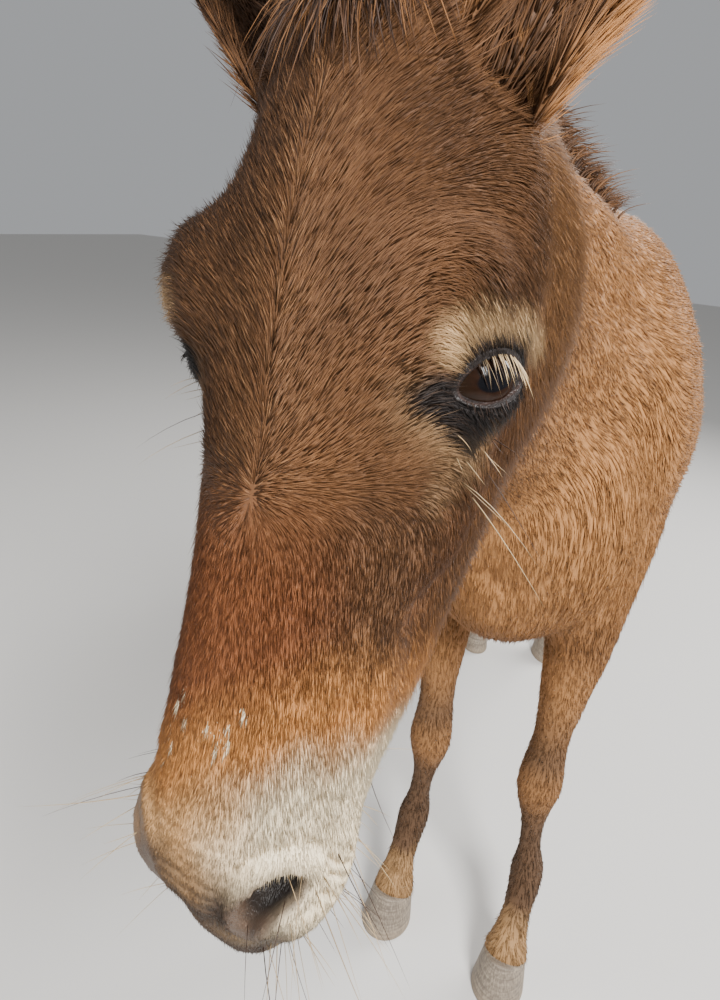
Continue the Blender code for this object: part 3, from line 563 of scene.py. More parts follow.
def sliced(obj, point, normal):
    """The part of a closed mesh behind a plane, with its cut face closed."""
    def cut(work):
        geometry = work.verts[:] + work.edges[:] + work.faces[:]
        place = Vector(np.asarray(point) - MIDDLE)
        bmesh.ops.bisect_plane(work, geom=geometry, plane_co=place, plane_no=Vector(normal), clear_outer=True)
        rim = [edge for edge in work.edges if edge.is_boundary]
        filled = bmesh.ops.edgenet_fill(work, edges=rim)
        bmesh.ops.triangulate(work, faces=filled["faces"])
        turn_out(work)

    return reworked(obj, cut)


def tube_mesh(path, radii, front, segments):
    """Points and faces of a closed tube with an oval ring at each point of a path."""
    path = np.asarray(path, float)
    along = unit(np.gradient(path, axis=0))
    turns = np.linspace(0, 2 * math.pi, segments, endpoint=False)
    rings = []
    for k in range(len(path)):
        face = unit(front[k] - along[k] * (along[k] @ front[k]))
        side = np.cross(along[k], face)
        ring = np.outer(np.cos(turns) * radii[k][0], face) + np.outer(np.sin(turns) * radii[k][1], side)
        rings.append(path[k] + ring)
    return rings_mesh(rings)


KINDS = {1: ("FLOAT", "value"), 3: ("FLOAT_VECTOR", "vector"), 4: ("FLOAT_COLOR", "color")}


def store(obj, name, values):
    """Keeps a number, vector or colour for each point of a mesh."""
    values = np.asarray(values, np.float32)
    kind, key = KINDS[1 if values.ndim == 1 else values.shape[1]]
    layer = obj.data.attributes.get(name) or obj.data.attributes.new(name, kind, "POINT")
    layer.data.foreach_set(key, np.ascontiguousarray(values).ravel())


def keep(obj, **values):
    """Keeps several things for each point of a mesh, each by its name."""
    count = len(obj.data.vertices)
    for name, value in values.items():
        if name == "coat_colour":
            value = np.c_[np.broadcast_to(value, (count, 3)), np.ones(count)]
        elif name == "atlas":
            value = np.c_[value, np.zeros(count)]
        elif np.ndim(value) == 0:
            value = np.full(count, value)
        store(obj, name, value)


def stored(obj, name, width):
    """Reads back what store kept, or what the node tree wrote."""
    layer = obj.data.attributes[name]
    flat = np.empty(len(layer.data) * width, np.float32)
    layer.data.foreach_get(KINDS[width][1], flat)
    return flat.reshape(-1, width) if width > 1 else flat


def corners_of(mesh):
    """The point that each corner of each face stands on."""
    corners = np.empty(len(mesh.loops), np.int32)
    mesh.loops.foreach_get("vertex_index", corners)
    return corners


def put_map(mesh, spots):
    """Gives each corner its place on the map."""
    layer = mesh.uv_layers.get("OFBake") or mesh.uv_layers.new(name="OFBake")
    layer.data.foreach_set("uv", spots.astype(np.float32).ravel())


def joined(name, objects):
    """Several mesh objects made one."""
    first = objects[0]
    with bpy.context.temp_override(active_object=first, selected_editable_objects=objects):
        bpy.ops.object.join()
    first.name = name
    first.data.name = name
    return first


# The field of the skin

NOSTRIL_PATH = [(0.0285, 0.48, -0.025), (0.034, 0.4695, -0.0195), (0.039, 0.459, -0.0185),
                (0.044, 0.4495, -0.021), (0.0485, 0.443, -0.027), (0.0512, 0.4395, -0.0335)]
NOSTRIL_RADII = [(0.003, 0.003), (0.0065, 0.006), (0.0105, 0.008), (0.018, 0.0086), (0.021, 0.0084),
                 (0.01, 0.0055)]
MOUTH_HALF = [(0.058, 0.424, -0.073), (0.063, 0.44, -0.075), (0.061, 0.459, -0.077),
              (0.053, 0.478, -0.077), (0.039, 0.494, -0.077), (0.018, 0.504, -0.077)]
MOUTH_FRONT = [(0.0, 0.5075, -0.077)]

# Folds of the bare skin on the left half of the muzzle: places, width and depth
FOLDS = [
    ([(0.044, 0.3985, -0.028), (0.047, 0.3925, -0.034), (0.0495, 0.3865, -0.04)], 0.0022, 0.0016),
    ([(0.0612, 0.4302, -0.045), (0.0637, 0.4359, -0.051), (0.0653, 0.4404, -0.062)], 0.0016, 0.0014),
    ([(0.064, 0.44, -0.046), (0.0645, 0.444, -0.053), (0.064, 0.448, -0.062)], 0.0016, 0.0014),
    ([(0.0638, 0.4466, -0.039), (0.0642, 0.452, -0.046), (0.063, 0.457, -0.055)], 0.0017, 0.0014),
    ([(0.056, 0.422, -0.052), (0.06, 0.426, -0.058), (0.061, 0.43, -0.066)], 0.0016, 0.001),
    ([(0.06, 0.459, -0.036), (0.061, 0.465, -0.043), (0.059, 0.471, -0.052)], 0.0016, 0.001),
    ([(0.0262, 0.46, -0.012), (0.019, 0.459, -0.01), (0.006, 0.456, -0.008)], 0.0024, 0.0006),
    ([(0.0427, 0.4207, -0.022), (0.0452, 0.4235, -0.025), (0.045, 0.4265, -0.024)], 0.0011, 0.0008),
]


def near_line(points, line):
    """How far each point lies from a line of places."""
    line = np.asarray(line, float)
    nearest = np.full(len(points), 1.0)
    for start, end in zip(line[:-1], line[1:]):
        way = end - start
        share = np.clip(((points - start) @ way) / (way @ way), 0, 1)
        nearest = np.minimum(nearest, lengths(points - start - share[:, None] * way))
    return nearest


def in_left_half(points):
    """The head's measures of points, with its right half folded onto its left."""
    local = in_head(points)
    local[:, 0] = np.abs(local[:, 0])
    return local


def near_distance(points):
    """The body about the head and neck alone."""
    value = blend(SWEEPS["torso"].distance(points), SWEEPS["neck"].distance(points), 0.1)
    return blend(value, head_distance(points), 0.045)


def past_crop(points):
    """How far points lie beyond the plane that parts the head from the body."""
    return (points - CROP_POINT) @ CROP_WAY


def coat_depth(points):
    """How far the skin lies under the outline of the coat."""
    local = in_head(points)
    face = rise(-0.02, 0.06, local[:, 1]) * rise(-0.27, -0.19, local[:, 2])
    muzzle = face * rise(0.38, 0.44, local[:, 1])
    leg = rise(0.62, 0.5, points[:, 2])
    body = 0.005 * (1 - leg) + 0.003 * leg
    return body * (1 - face) + 0.002 * face - 0.0013 * muzzle


def skin_distance(points):
    """How far points lie outside the skin of the head and neck."""
    return near_distance(points) + coat_depth(points)


def eye_frame(side):
    """The eye's centre and its outward, lengthwise and upward directions."""
    flip = np.array([side, 1, 1])
    axes = [(axis * flip) @ HEAD for axis in (EYE_OUT, EYE_ALONG, EYE_UP)]
    return head_point(*(EYE_CENTRE * flip)), np.array(axes)


FAR_OFF = 9.0  # the almond's scale for points that have nothing to do with the eye


def about_eye(points, side):
    """Measures about the eye: along and up over its ball, the almond's scale, and the distance."""
    centre, axes = eye_frame(side)
    local = (points - centre) @ axes.T
    away = lengths(local)
    ahead = np.maximum(local[:, 0], 1e-4)
    along = local[:, 1] / ahead * EYE_RADIUS
    up = local[:, 2] / ahead * EYE_RADIUS
    half = np.where(up > 0, EYE_UPPER, EYE_LOWER)
    scale = np.hypot(along / EYE_HALF_LENGTH, up / half)
    ahead = (local[:, 0] > 0.002) & (away < 0.06)
    return along, up, np.where(ahead, scale, FAR_OFF), away


def lid_direction(side, turn, scale):
    """The direction from the eye's centre to a place round the almond at a scale."""
    _, (out, along, up) = eye_frame(side)
    half = np.where(np.sin(turn) > 0, EYE_UPPER, EYE_LOWER)
    across = EYE_HALF_LENGTH * np.cos(turn) * scale
    height = half * np.sin(turn) * (1 - 0.25 * np.cos(turn) ** 2) * scale
    return unit(out * EYE_RADIUS + np.outer(across, along) + np.outer(height, up))


def surface_radius(centre, ways, distance, start=0.06, rounds=40):
    """How far from a centre the surface lies along some directions."""
    reach = np.full(len(ways), start)
    for _ in range(rounds):
        reach -= 0.7 * distance(centre + ways * reach[:, None])
    return reach


# The shells of the skin

CROP_POINT = np.array([0.0, -0.43, 1.19])
CROP_WAY = np.array([0.0, -0.94, 0.34])
CROP_OVERLAP = 0.03


def finer_muzzle(work):
    """Halves the faces of the muzzle."""
    fine = []
    for face in work.faces:
        place = in_head(np.array([face.calc_center_median()]) + MIDDLE)[0]
        if place[1] > 0.418 and len(face.verts) == 4:
            fine.append(face)
    edges = list({edge for face in fine for edge in face.edges})
    bmesh.ops.subdivide_edges(work, edges=edges, cuts=1, use_grid_fill=True)


def head_shell(voxel):
    """The head and the top of the neck, with nostrils, the mouth's line and hollows for the eyes."""
    obj = remeshed(lofts("head_shell", ["head", "neck"]), 0.0065)
    put_points(obj, settle(points_of(obj), near_distance, 4))
    cutters = bpy.data.collections.new("cutters")
    bpy.context.scene.collection.children.link(cutters)
    spaces = []
    for side in SIDES.values():
        path = [head_point(x * side, down, out) for x, down, out in NOSTRIL_PATH]
        inward = [np.array([-0.52 * side, -0.2, -0.83]) @ HEAD] * len(path)
        radii = [(deep, wide * (1.0 if side > 0 else 0.4)) for deep, wide in NOSTRIL_RADII]
        spaces.append(mesh_object("nostril", *tube_mesh(path, radii, inward, 12)))
    places = MOUTH_HALF + MOUTH_FRONT + [(-x, down, out) for x, down, out in MOUTH_HALF[::-1]]
    path = [head_point(*place) for place in places]
    inward = [head_point(0, 0.45, -0.08) - point for point in path]
    radii = [(0.003, 0.0012)] + [(0.01, 0.0026)] * (len(path) - 2) + [(0.003, 0.0012)]
    spaces.append(mesh_object("mouth", *tube_mesh(path, radii, inward, 6)))
    for space in spaces:
        reworked(space, turn_out)
        bpy.context.scene.collection.objects.unlink(space)
        cutters.objects.link(space)
    modified(obj, "BOOLEAN", operation="DIFFERENCE", operand_type="COLLECTION", collection=cutters,
             solver="MANIFOLD")
    for space in spaces:
        bpy.data.objects.remove(space)
    bpy.data.collections.remove(cutters)
    remeshed(obj, voxel)
    sliced(obj, CROP_POINT, -CROP_WAY)
    relaxed(reworked(obj, finer_muzzle), 2)
    points = points_of(obj)
    hollow = hollow_distance(points)
    inner = near_distance(points) < -0.0045
    free = (hollow > 0.003) & ~inner & (past_crop(points) > 0.002)
    put_points(obj, settle(points, skin_distance, 3, free))
    relaxed(obj, 2, 0.4)
    put_points(obj, worked(points_of(obj), normals_of(obj)))
    return obj


def nostril_distance(points, start=0.39, wider=1.0):
    """How far points lie from the edge of the nostrils, from a distance down the face."""
    local = in_left_half(points)
    near = local[:, 1] > start
    path = through(np.arange(len(NOSTRIL_PATH)), NOSTRIL_PATH, 24)
    radii = through(np.arange(len(NOSTRIL_RADII)), NOSTRIL_RADII, 24)
    nearest = np.full(near.sum(), 1.0)
    for place, radius in zip(path, radii):
        nearest = np.minimum(nearest, lengths(local[near] - place) - radius[1] * wider)
    value = np.full(len(points), 1.0)
    value[near] = nearest
    return value


def hollow_distance(points):
    """How far points lie from the nostrils and the line of the mouth."""
    local = in_left_half(points)
    near = local[:, 1] > 0.4
    value = nostril_distance(points, 0.4, 1.05)
    value[near] = np.minimum(value[near], near_line(local[near], MOUTH_HALF + MOUTH_FRONT) - 0.001)
    return value


def worked(points, normals):
    """The head's skin with its folds, the rims of the nostrils and the hollows behind the eyes."""
    local = in_left_half(points)
    rise_by = np.zeros(len(points))
    near = local[:, 1] > 0.36
    for line, width, depth in FOLDS:
        far = near_line(local[near], line)
        rise_by[near] -= depth * hump(far, 0, width) - 0.4 * depth * hump(far, 2.0 * width, width)
    rim = nostril_distance(points)
    flare = np.where(in_head(points)[:, 0] > 0, 1.0, 0.3)
    rise_by += flare * (0.0014 * hump(rim, 0.0045, 0.003) - 0.0016 * hump(rim, 0.013, 0.005))
    crest = near_line(local, [(0.078, 0.215, -0.085), (0.067, 0.265, -0.075), (0.058, 0.3, -0.062)])
    rise_by += 0.0022 * hump(crest, 0, 0.009)
    dent = (local - [0.063, 0.3, -0.097]) / [0.02, 0.018, 0.026]
    rise_by -= 0.0035 * np.exp(-(dent ** 2).sum(1))
    hollow = (local - [0.062, 0.085, -0.03]) / [0.022, 0.032, 0.03]
    rise_by -= 0.004 * np.exp(-(hollow ** 2).sum(1))
    points = points + normals * rise_by[:, None]
    for side in SIDES.values():
        centre, _ = eye_frame(side)
        _, _, scale, away = about_eye(points, side)
        ways = unit(points - centre)
        sunk = (EYE_RADIUS - 0.006) * (1 - rise(1.18, 1.45, scale))
        sunk = sunk + (away - 0.0012 * rise(1.85, 1.6, scale)) * rise(1.18, 1.45, scale)
        inside = scale < 1.85
        points[inside] = (centre + ways * sunk[:, None])[inside]
    return points


LID_SCALES = [0.9, 0.94, 0.965, 0.985, 1.0, 1.02, 1.05, 1.09, 1.13, 1.17, 1.21, 1.25, 1.29, 1.33, 1.38,
              1.43, 1.48, 1.54, 1.6, 1.67, 1.75]
LID_EDGE = [-0.0016, -0.0006, 0.0003, 0.0013, 0.002, 0.0025, 0.0028, 0.0029]  # height over the ball


def lid_ring(side):
    """The lids of one eye: wet margin, rounded edge, creases, and skirts that run into the skin."""
    centre, _ = eye_frame(side)
    turns = np.linspace(0, 2 * math.pi, 112, endpoint=False)
    upper = rise(-0.15, 0.35, np.sin(turns))
    rings = []
    for scale in LID_SCALES:
        ways = lid_direction(side, turns, scale)
        skin = surface_radius(centre, ways, skin_distance)
        edge = EYE_RADIUS + np.interp(scale, LID_SCALES[:8], LID_EDGE)
        share = rise(1.08, 1.48, scale)
        reach = edge * (1 - share) + skin * share
        fold = 0.0026 * hump(scale, 1.29, 0.045) - 0.0011 * hump(scale, 1.17, 0.06)
        fold = fold + 0.0012 * hump(scale, 1.47, 0.06)
        under = 0.0015 * hump(scale, 1.24, 0.04) + 0.0012 * hump(scale, 1.4, 0.05)
        under = under - 0.0008 * hump(scale, 1.12, 0.05)
        reach = reach - fold * upper - under * (1 - upper)
        reach = reach - 0.001 * rise(1.62, 1.75, scale)
        rings.append(centre + ways * reach[:, None])
    points, faces = rings_mesh(rings)
    faces = faces[1:-1]
    middle = Vector(centre - MIDDLE)

    def turn_from_ball(work):
        for vertex in work.verts:
            vertex.normal_update()
        if sum(face.normal.dot(face.calc_center_median() - middle) for face in work.faces) < 0:
            bmesh.ops.reverse_faces(work, faces=work.faces[:])

    obj = reworked(mesh_object("lids", points, faces), turn_from_ball)
    return modified(obj, "SOLIDIFY", thickness=0.0016, offset=-1.0)


def body_shell(voxel):
    """The neck, trunk, legs and dock."""
    obj = remeshed(lofts("body_shell", [name for name in SWEEPS if name != "head"]), voxel)
    sliced(obj, CROP_POINT + CROP_WAY * CROP_OVERLAP, CROP_WAY)
    points = points_of(obj)

    def target(places):
        return body_distance(places) + coat_depth(places) + 0.0015 * rise(-0.01, 0.01, past_crop(places))

    put_points(obj, settle(points, target, 5, past_crop(points) < CROP_OVERLAP - 0.0005))
    relaxed(obj, 2, 0.4)
    points = points_of(obj)
    points[:, 2] = np.maximum(points[:, 2], 0.022)
    put_points(obj, points)
    return obj


EAR_WAYS = {
    # the ear's long axis and the way its cup faces, in the head's own measures on its own side
    "left": ((0.42, -0.9, -0.05), (0.35, 0.15, 0.93)),
    "right": ((0.66, -0.75, 0.0), (0.15, 0.3, 0.94)),
}
EAR_ROWS, EAR_COLUMNS = 46, 31


def ear_leaf(name, side):
    """A long ear: a curled leaf with rounded edges on a root that is sunk in the head."""
    axis, cup = (np.array(way) * [side, 1, 1] for way in EAR_WAYS[name])
    axis = axis @ HEAD / np.linalg.norm(axis)
    cup = cup @ HEAD
    cup = unit(cup - axis * (axis @ cup))
    across = np.cross(axis, cup)
    root = head_point(0.066 * side, 0.02, -0.066)
    shares = [-0.14 + 1.14 * k / (EAR_ROWS - 1) for k in range(EAR_ROWS)]
    rings = []
    for share in shares:
        up = max(share, 0.0)
        half = 0.06 + 0.02 * math.sin(min(up / 0.55, 1.0) * math.pi / 2)
        half *= max(1 - ((up - 0.45) / 0.56) ** 2.0, 0.0) ** 0.75 if up > 0.45 else 1.0
        half = max(half * (1 + min(share, 0) * 1.5), 0.004)
        radius = 0.027 + 0.02 * min(up / 0.7, 1.0)
        sweep = min(half / radius, math.radians(140))
        radius = half / sweep
        place = root + axis * EAR_LENGTH * share - cup * (0.01 * math.sin(math.pi * up))
        thick = 0.005 - 0.0028 * up
        outer, inner = [], []
        for j in range(EAR_COLUMNS):
            turn = 2 * j / (EAR_COLUMNS - 1) - 1
            ray = -cup * math.cos(sweep * turn) + across * math.sin(sweep * turn)
            edge = 1.0 - 0.6 * abs(turn) ** 4
            ripple = 0.001 * math.sin(turn * 9.0) * (1 - turn * turn) * min(up * 3, 1)
            outer.append(place + ray * (radius + thick * edge / 2))
            inner.append(place + ray * (radius - thick * edge / 2 + ripple))
        rings.append(np.array(outer + inner[::-1]))
    obj = mesh_object("ear_shell_" + name, *rings_mesh(rings))
    turns = np.linspace(-1, 1, EAR_COLUMNS)
    turns = np.tile(np.r_[turns, turns[::-1]], EAR_ROWS)
    inside = np.tile(np.repeat([0.0, 1.0], EAR_COLUMNS), EAR_ROWS)
    keep(obj, ear_place=columns(np.repeat(shares, 2 * EAR_COLUMNS), turns, inside))
    return reworked(obj, turn_out), axis, across


# The coat: where hair lies which way, how long it is and what colour it has

WHORL = 0.251  # how far down the face the whorl of the forehead lies
BORDER = 0.016  # how softly the coats of neighbouring parts run into each other
LIPS = MOUTH_HALF + MOUTH_FRONT
PALE_BROW = [(0.08, 0.17, -0.012), (0.086, 0.156, -0.016), (0.099, 0.146, -0.05), (0.091, 0.141, -0.11)]
PALE_UNDER_EYE = [(0.073, 0.236, -0.054), (0.08, 0.215, -0.062), (0.078, 0.205, -0.095)]
# How fast each wave of the uneven lie turns along x, y and z, and where it starts
BROAD_WAVES = [((9, 14, 11), 0.5), ((-12, 8, 13), 1.7), ((11, -9, 15), 2.9)]
FINE_WAVES = [((61, 43, -52), 0.2), ((-47, 66, 58), 1.1), ((53, -64, 49), 2.3)]


def nearness(points):
    """How much each part of the body has to say about the coat at each point."""
    names = ["head", "neck", "torso", "dock"] + [f"{kind}leg_{side}" for kind in ("fore", "hind")
                                                 for side in SIDES]
    gaps = [head_distance(points) if name == "head" else SWEEPS[name].distance(points) for name in names]
    gaps[0] = gaps[0] - 0.1 * rise(0.1, 0.19, past_crop(points))
    shares = np.exp(-np.clip(np.array(gaps), -0.05, 0.25) / BORDER)
    return dict(zip(names, shares / shares.sum(0)))


def mixed(base, other, share):
    """Colours or directions run into another by a share at each point."""
    share = np.clip(np.asarray(share, float), 0, 1)[:, None]
    return base * (1 - share) + np.asarray(other) * share


def layered(base, *layers):
    """A colour with others run over it in turn, each by its share at each point."""
    for other, share in layers:
        base = mixed(base, other, share)
    return base


def face_lie(local):
    """The lie of the hair on the head, in the head's own measures."""
    x, down, out = local.T
    side, far = np.sign(x) + (x == 0), np.abs(x)
    above = unit(columns(side * (0.55 + 4.5 * far), -(1 - 7.5 * far), 0))
    below = unit(columns(2.2 * x, 1, 0))
    ways = mixed(above, below, rise(WHORL - 0.02 - 0.75 * far, WHORL + 0.022 + 0.55 * far, down))
    ways[:, 0] += 1.5 * x / 0.02 * hump(np.hypot(x, down - WHORL), 0, 0.022)
    behind = rise(0.062, 0.092, far) * rise(0.27, 0.2, down)
    cheek = rise(-0.055, -0.085, out) * rise(0.15, 0.2, down)
    jaw = rise(-0.13, -0.19, out) * rise(0.36, 0.28, down)
    ways = layered(ways, (columns(side * 0.4, 0.75, -0.75), behind), ([0, 0.9, -0.42], cheek),
                   ([0, 0.2, -1.0], jaw))
    return ways + columns(side * 0.3, 0, -1.4) * rise(0.018, -0.012, down)[:, None]


def waves_at(points, waves):
    """Three smooth waves over the body, read at each point."""
    return np.stack([np.sin(points @ spin + turn) for spin, turn in waves], axis=1)


def lie_of_coat(points, normals, shares):
    """Unit directions of the hair on the skin."""
    side = np.sign(points[:, 0])
    chest = rise(0.0, -0.09, points[:, 1])
    _, between = SWEEPS["neck"].read(points)
    neck = unit(-between(SWEEPS["neck"].along) + [0, 0, -0.38])
    _, between = SWEEPS["dock"].read(points)
    lies = {"head": unit(face_lie(in_head(points))) @ HEAD, "neck": neck,
            "torso": columns(side * 0.05, 0.95 * (1 - chest), -0.3 - 0.8 * chest),
            "dock": between(SWEEPS["dock"].along)}
    down_the_leg = np.array([0, 0.12, -1.0])
    ways = np.zeros_like(points)
    for name, share in shares.items():
        ways += lies.get(name, down_the_leg) * share[:, None]
    swirl = waves_at(points, BROAD_WAVES) + 0.6 * waves_at(points, FINE_WAVES)
    ways = swung(points, unit(ways) + 0.075 * swirl)
    return unit(ways - normals * (ways * normals).sum(1)[:, None])


def legs_in(shares):
    """How much the legs have to say at each point."""
    return sum(shares[name] for name in shares if "leg" in name)


def hair_measures(points, shares):
    """The length and width of the hair, and how thickly it grows, at each point."""
    local = in_left_half(points)
    _, down, out = local.T
    head, leg, height = shares["head"], legs_in(shares), points[:, 2]
    face = 0.0095 + 0.0035 * rise(0.27, 0.2, down)
    face = face - 0.0045 * rise(0.385, 0.44, down)
    under = rise(-0.07, -0.11, out) * rise(0.42, 0.36, down)
    face = face + (0.0035 + 0.007 * rise(-0.12, -0.18, out)) * under
    face = face + 0.004 * rise(0.03, 0.0, down)
    body = 0.021 + 0.006 * rise(0.75, 0.66, height) * (1 - leg)
    body = body - 0.008 * leg * rise(0.75, 0.55, height) + 0.004 * leg * rise(0.17, 0.1, height)
    body = body + 0.003 * shares["neck"] * rise(-0.3, -0.5, points[:, 1])
    length = face * head + body * (1 - head)
    fine = head * rise(-0.2, -0.13, out)
    width = 0.00086 * fine + 0.0012 * (head - fine) + 0.002 * (1 - head)
    width = width - 0.00018 * fine * rise(0.38, 0.44, down)
    thick = 1.0 * fine + 0.55 * (head - fine) + 0.4 * (1 - head)
    bare = muzzle_bare(points, local)
    for side in SIDES.values():
        scale = about_eye(points, side)[2]
        bare = np.maximum(bare, rise(1.35, 1.18, scale))
        length = length * (1 - 0.45 * rise(2.4, 1.5, scale))
    return length * (1 - 0.5 * bare), width, thick * (1 - bare), bare


def muzzle_bare(points, local):
    """Where the skin of the nostrils and lips shows, with next to no hair on it."""
    rim = nostril_distance(points)
    mouth = near_line(local, LIPS)
    inside = rise(0.0012, 0.005, -skin_distance(points))
    bare = rise(0.0065, 0.0005, rim) + 0.9 * rise(0.0075, 0.0025, mouth) + inside
    return np.clip(np.where(local[:, 1] > 0.38, bare, 0), 0, 1)


def unevenness(points, size, seed):
    """Smooth irregular patches between -1 and 1 of a given size."""
    draw = np.random.default_rng(seed)
    value = np.zeros(len(points))
    for _ in range(5):
        spin = draw.normal(size=3)
        spin = spin / np.linalg.norm(spin) * draw.uniform(4, 8) / size
        value += np.sin(points @ spin + draw.uniform(0, 6.28))
    return value / 3


def body_colours(points, leg, patch, small, tints):
    """The trunk and legs: a dark stripe down the back, dark knees and cannons, paler pasterns, and a belly
    painted darker as shade under the trunk.
    """
    height = points[:, 2]
    stripe = hump(points[:, 0], 0, 0.035) * rise(1.12, 1.2, height) * rise(0.0, 0.1, points[:, 1])
    limb = layered(tints.leg, (tints.body * 0.9, rise(0.44, 0.62, height + 0.03 * patch)),
                   (tints.body * 0.9, hump(height, 0.4, 0.05) * 0.75),
                   (tints.mealy * 0.75, 0.75 * rise(0.16, 0.11, height + 0.01 * small)))
    # The belly is darker below about 0.8 m: painted shade under the trunk
    return layered(tints.body, (tints.belly, rise(0.82, 0.66, height + 0.02 * patch)),
                   (tints.body * 0.62, 0.8 * stripe), (limb, leg * rise(0.78, 0.62, height)))


def coat_colours(points, shares, tints):
    """The markings: chestnut head, tan band and mealy muzzle, pale eye rings and throat, darker legs; with
    painted shade in the temple hollows, eye creases, nostrils, mouth, belly and right side of the muzzle.
    """
    x, down, out = in_head(points).T
    folded = in_left_half(points)
    far = folded[:, 0]
    patch, small = unevenness(points, 0.09, 3), unevenness(points, 0.028, 4)
    body = body_colours(points, legs_in(shares), patch, small, tints)
    neck = mixed(body, tints.chestnut * 1.15, 0.75 * shares["neck"] * rise(-0.22, -0.5, points[:, 1]))
    low = rise(0.13, 0.2, down)
    # Painted shade: the pale muzzle and the tan band above it reach higher on the left side than on the
    # right, and the right side's muzzle is darker and browner, over the mealy muzzle's own colour
    edge = down + 0.004 * small + 0.003 * patch + 0.62 * np.clip(x, -0.03, 0.05)
    pale = mixed(tints.mealy, tints.mealy_pale, rise(-0.005, 0.04, x + 0.006 * small))
    reach = 0.026 + 0.9 * np.clip(down - 0.44, 0, 0.05)
    between = rise(reach + 0.016, reach - 0.01, np.abs(x - 0.002)) * rise(0.43, 0.464, down)
    cheek = hump(np.hypot((far - 0.082) * 0.6, (down - 0.203) * 0.8), 0, 0.012) * rise(-0.09, -0.05, out)
    brow = near_line(folded, PALE_BROW) + 0.002 * small
    # Painted shade in the hollow above each eye, by the temple
    temple_shade = hump(np.hypot(far - 0.06, down - 0.075), 0, 0.02) * rise(-0.06, -0.02, out)
    # Painted shade: near black where the skin lies deep inside the nostrils and the line of the mouth
    deep = rise(0.002, 0.01, -skin_distance(points))
    head = layered(
        tints.chestnut * (1 + 0.16 * patch + 0.12 * small)[:, None],
        (tints.nose, rise(0.235, 0.3, down) * rise(0.062, 0.03, far)),
        (tints.jaw, rise(-0.05, -0.09, out) * low * 0.9),
        (tints.throat, rise(-0.095, -0.15, out) * low * 0.95),
        (tints.body * 0.7, rise(-0.05, -0.1, out) * (1 - low) * 0.8),
        (tints.tan, rise(0.335, 0.385, edge)),
        (pale, 0.96 * rise(0.386, 0.424, edge)),
        (tints.between, 0.92 * between * (1 + 0.2 * small)),
        (tints.eye_ring, 0.92 * rise(0.0145, 0.004, brow) + 0.55 * cheek),
        (tints.eye_ring, 0.16 * rise(0.012, 0.004, near_line(folded, PALE_UNDER_EYE))),
        (tints.dark, 0.45 * temple_shade),
        (tints.lid, lid_shadow(points)),
        (tints.nostril, 0.8 * rise(0.008, 0.001, nostril_distance(points))),
        (tints.nostril * 0.1, np.where(down > 0.4, deep, 0)),
        (tints.nostril, np.where(down > 0.4, 0.6 * rise(0.006, 0.001, near_line(folded, LIPS)), 0)),
    )
    return np.clip(mixed(neck, head, shares["head"]), 0.004, 0.9)


def lid_shadow(points):
    """Where the bare charcoal skin round the eyes shows, thin above and broad in front and below, with a
    painted shadow along the crease above each eye.
    """
    shadow = np.zeros(len(points))
    ragged = 0.06 * unevenness(points, 0.008, 5)
    for side in SIDES.values():
        centre, axes = eye_frame(side)
        out, along, up = ((points - centre) @ axes.T).T
        ring = np.hypot((along + 0.005) / 0.035, up / np.where(up > 0, 0.016, 0.019))
        ring = rise(1.22, 0.92, ring + ragged)
        # Painted shadow of the deep crease above the eye
        fold = rise(0.0045, 0.0015, np.abs(up - 0.0185 + 0.1 * along))
        fold = 0.9 * fold * rise(0.032, 0.024, np.abs(along - 0.006))
        lobe = 0.9 * rise(0.019, 0.009, np.hypot(along + 0.019, (up + 0.02) * 0.8) + 0.02 * ragged)
        near = (out > 0) * rise(0.06, 0.045, lengths(points - centre))
        shadow = np.maximum(shadow, np.maximum(np.maximum(ring, lobe), fold) * near)
    return shadow


def contrast_of(points, shares):
    """How much the strands of the coat differ from each other at each point."""
    x, down, _ = in_head(points).T
    # Along the forehead's seam the strands differ more, and their paler ones are partly a painted sheen
    seam = hump(x, -0.006, 0.024) * rise(0.0, 0.05, down) * rise(0.275, 0.24, down)
    muzzle = rise(0.4, 0.43, down) * shares["head"]
    return np.clip(0.17 + 0.62 * seam - 0.08 * muzzle - 0.03 * (1 - shares["head"]), 0.08, 1.0)


def atlas_of(points, shares, head_only):
    """Places on an unwrap of the skin: round each part's own sweep, and along it."""
    names = ["head"] if head_only else [name for name in shares if name != "head"]
    chosen = np.array([shares[name] for name in names]).argmax(0)
    places = np.zeros((len(points), 2))
    for index, name in enumerate(names):
        sweep = SWEEPS[name]
        which = chosen == index
        offset, between = sweep.read(points[which])
        turn = np.arctan2((offset * between(sweep.side)).sum(1), (offset * between(sweep.front)).sum(1))
        count = between(np.arange(sweep.SAMPLES, dtype=float)[:, None])[:, 0] / (sweep.SAMPLES - 1)
        if name == "head":
            beyond = (points[which] - sweep.centre[0]) @ -sweep.along[0]
            count = 0.2 + 0.8 * count - 0.2 * np.clip(beyond / 0.25, 0, 1)
        row, column = divmod(index, 3)
        size = 1.0 if head_only else 1 / 3
        spots = columns(turn / (2 * math.pi) + 0.5, count) * 0.96 + 0.02
        places[which] = (spots + ([0, 0] if head_only else [column, row])) * size
    return places


def dress(obj, tints, head_only=False):
    """Keeps on a skin the lie, length, width and colours of its coat."""
    points, normals = points_of(obj), normals_of(obj)
    shares = nearness(points)
    length, width, thick, bare = hair_measures(points, shares)
    edge = (-0.006, 0.0) if head_only else (0.012, 0.004)
    spots = atlas_of(points, shares, head_only)
    keep(obj, flow=lie_of_coat(points, normals, shares), hair_length=length, hair_width=width,
         thick=thick * rise(*edge, past_crop(points)), bare=bare,
         coat_colour=coat_colours(points, shares, tints), contrast=contrast_of(points, shares), atlas=spots)
    unwrap(obj, spots, 0.3 if head_only else 0.1)
    return obj


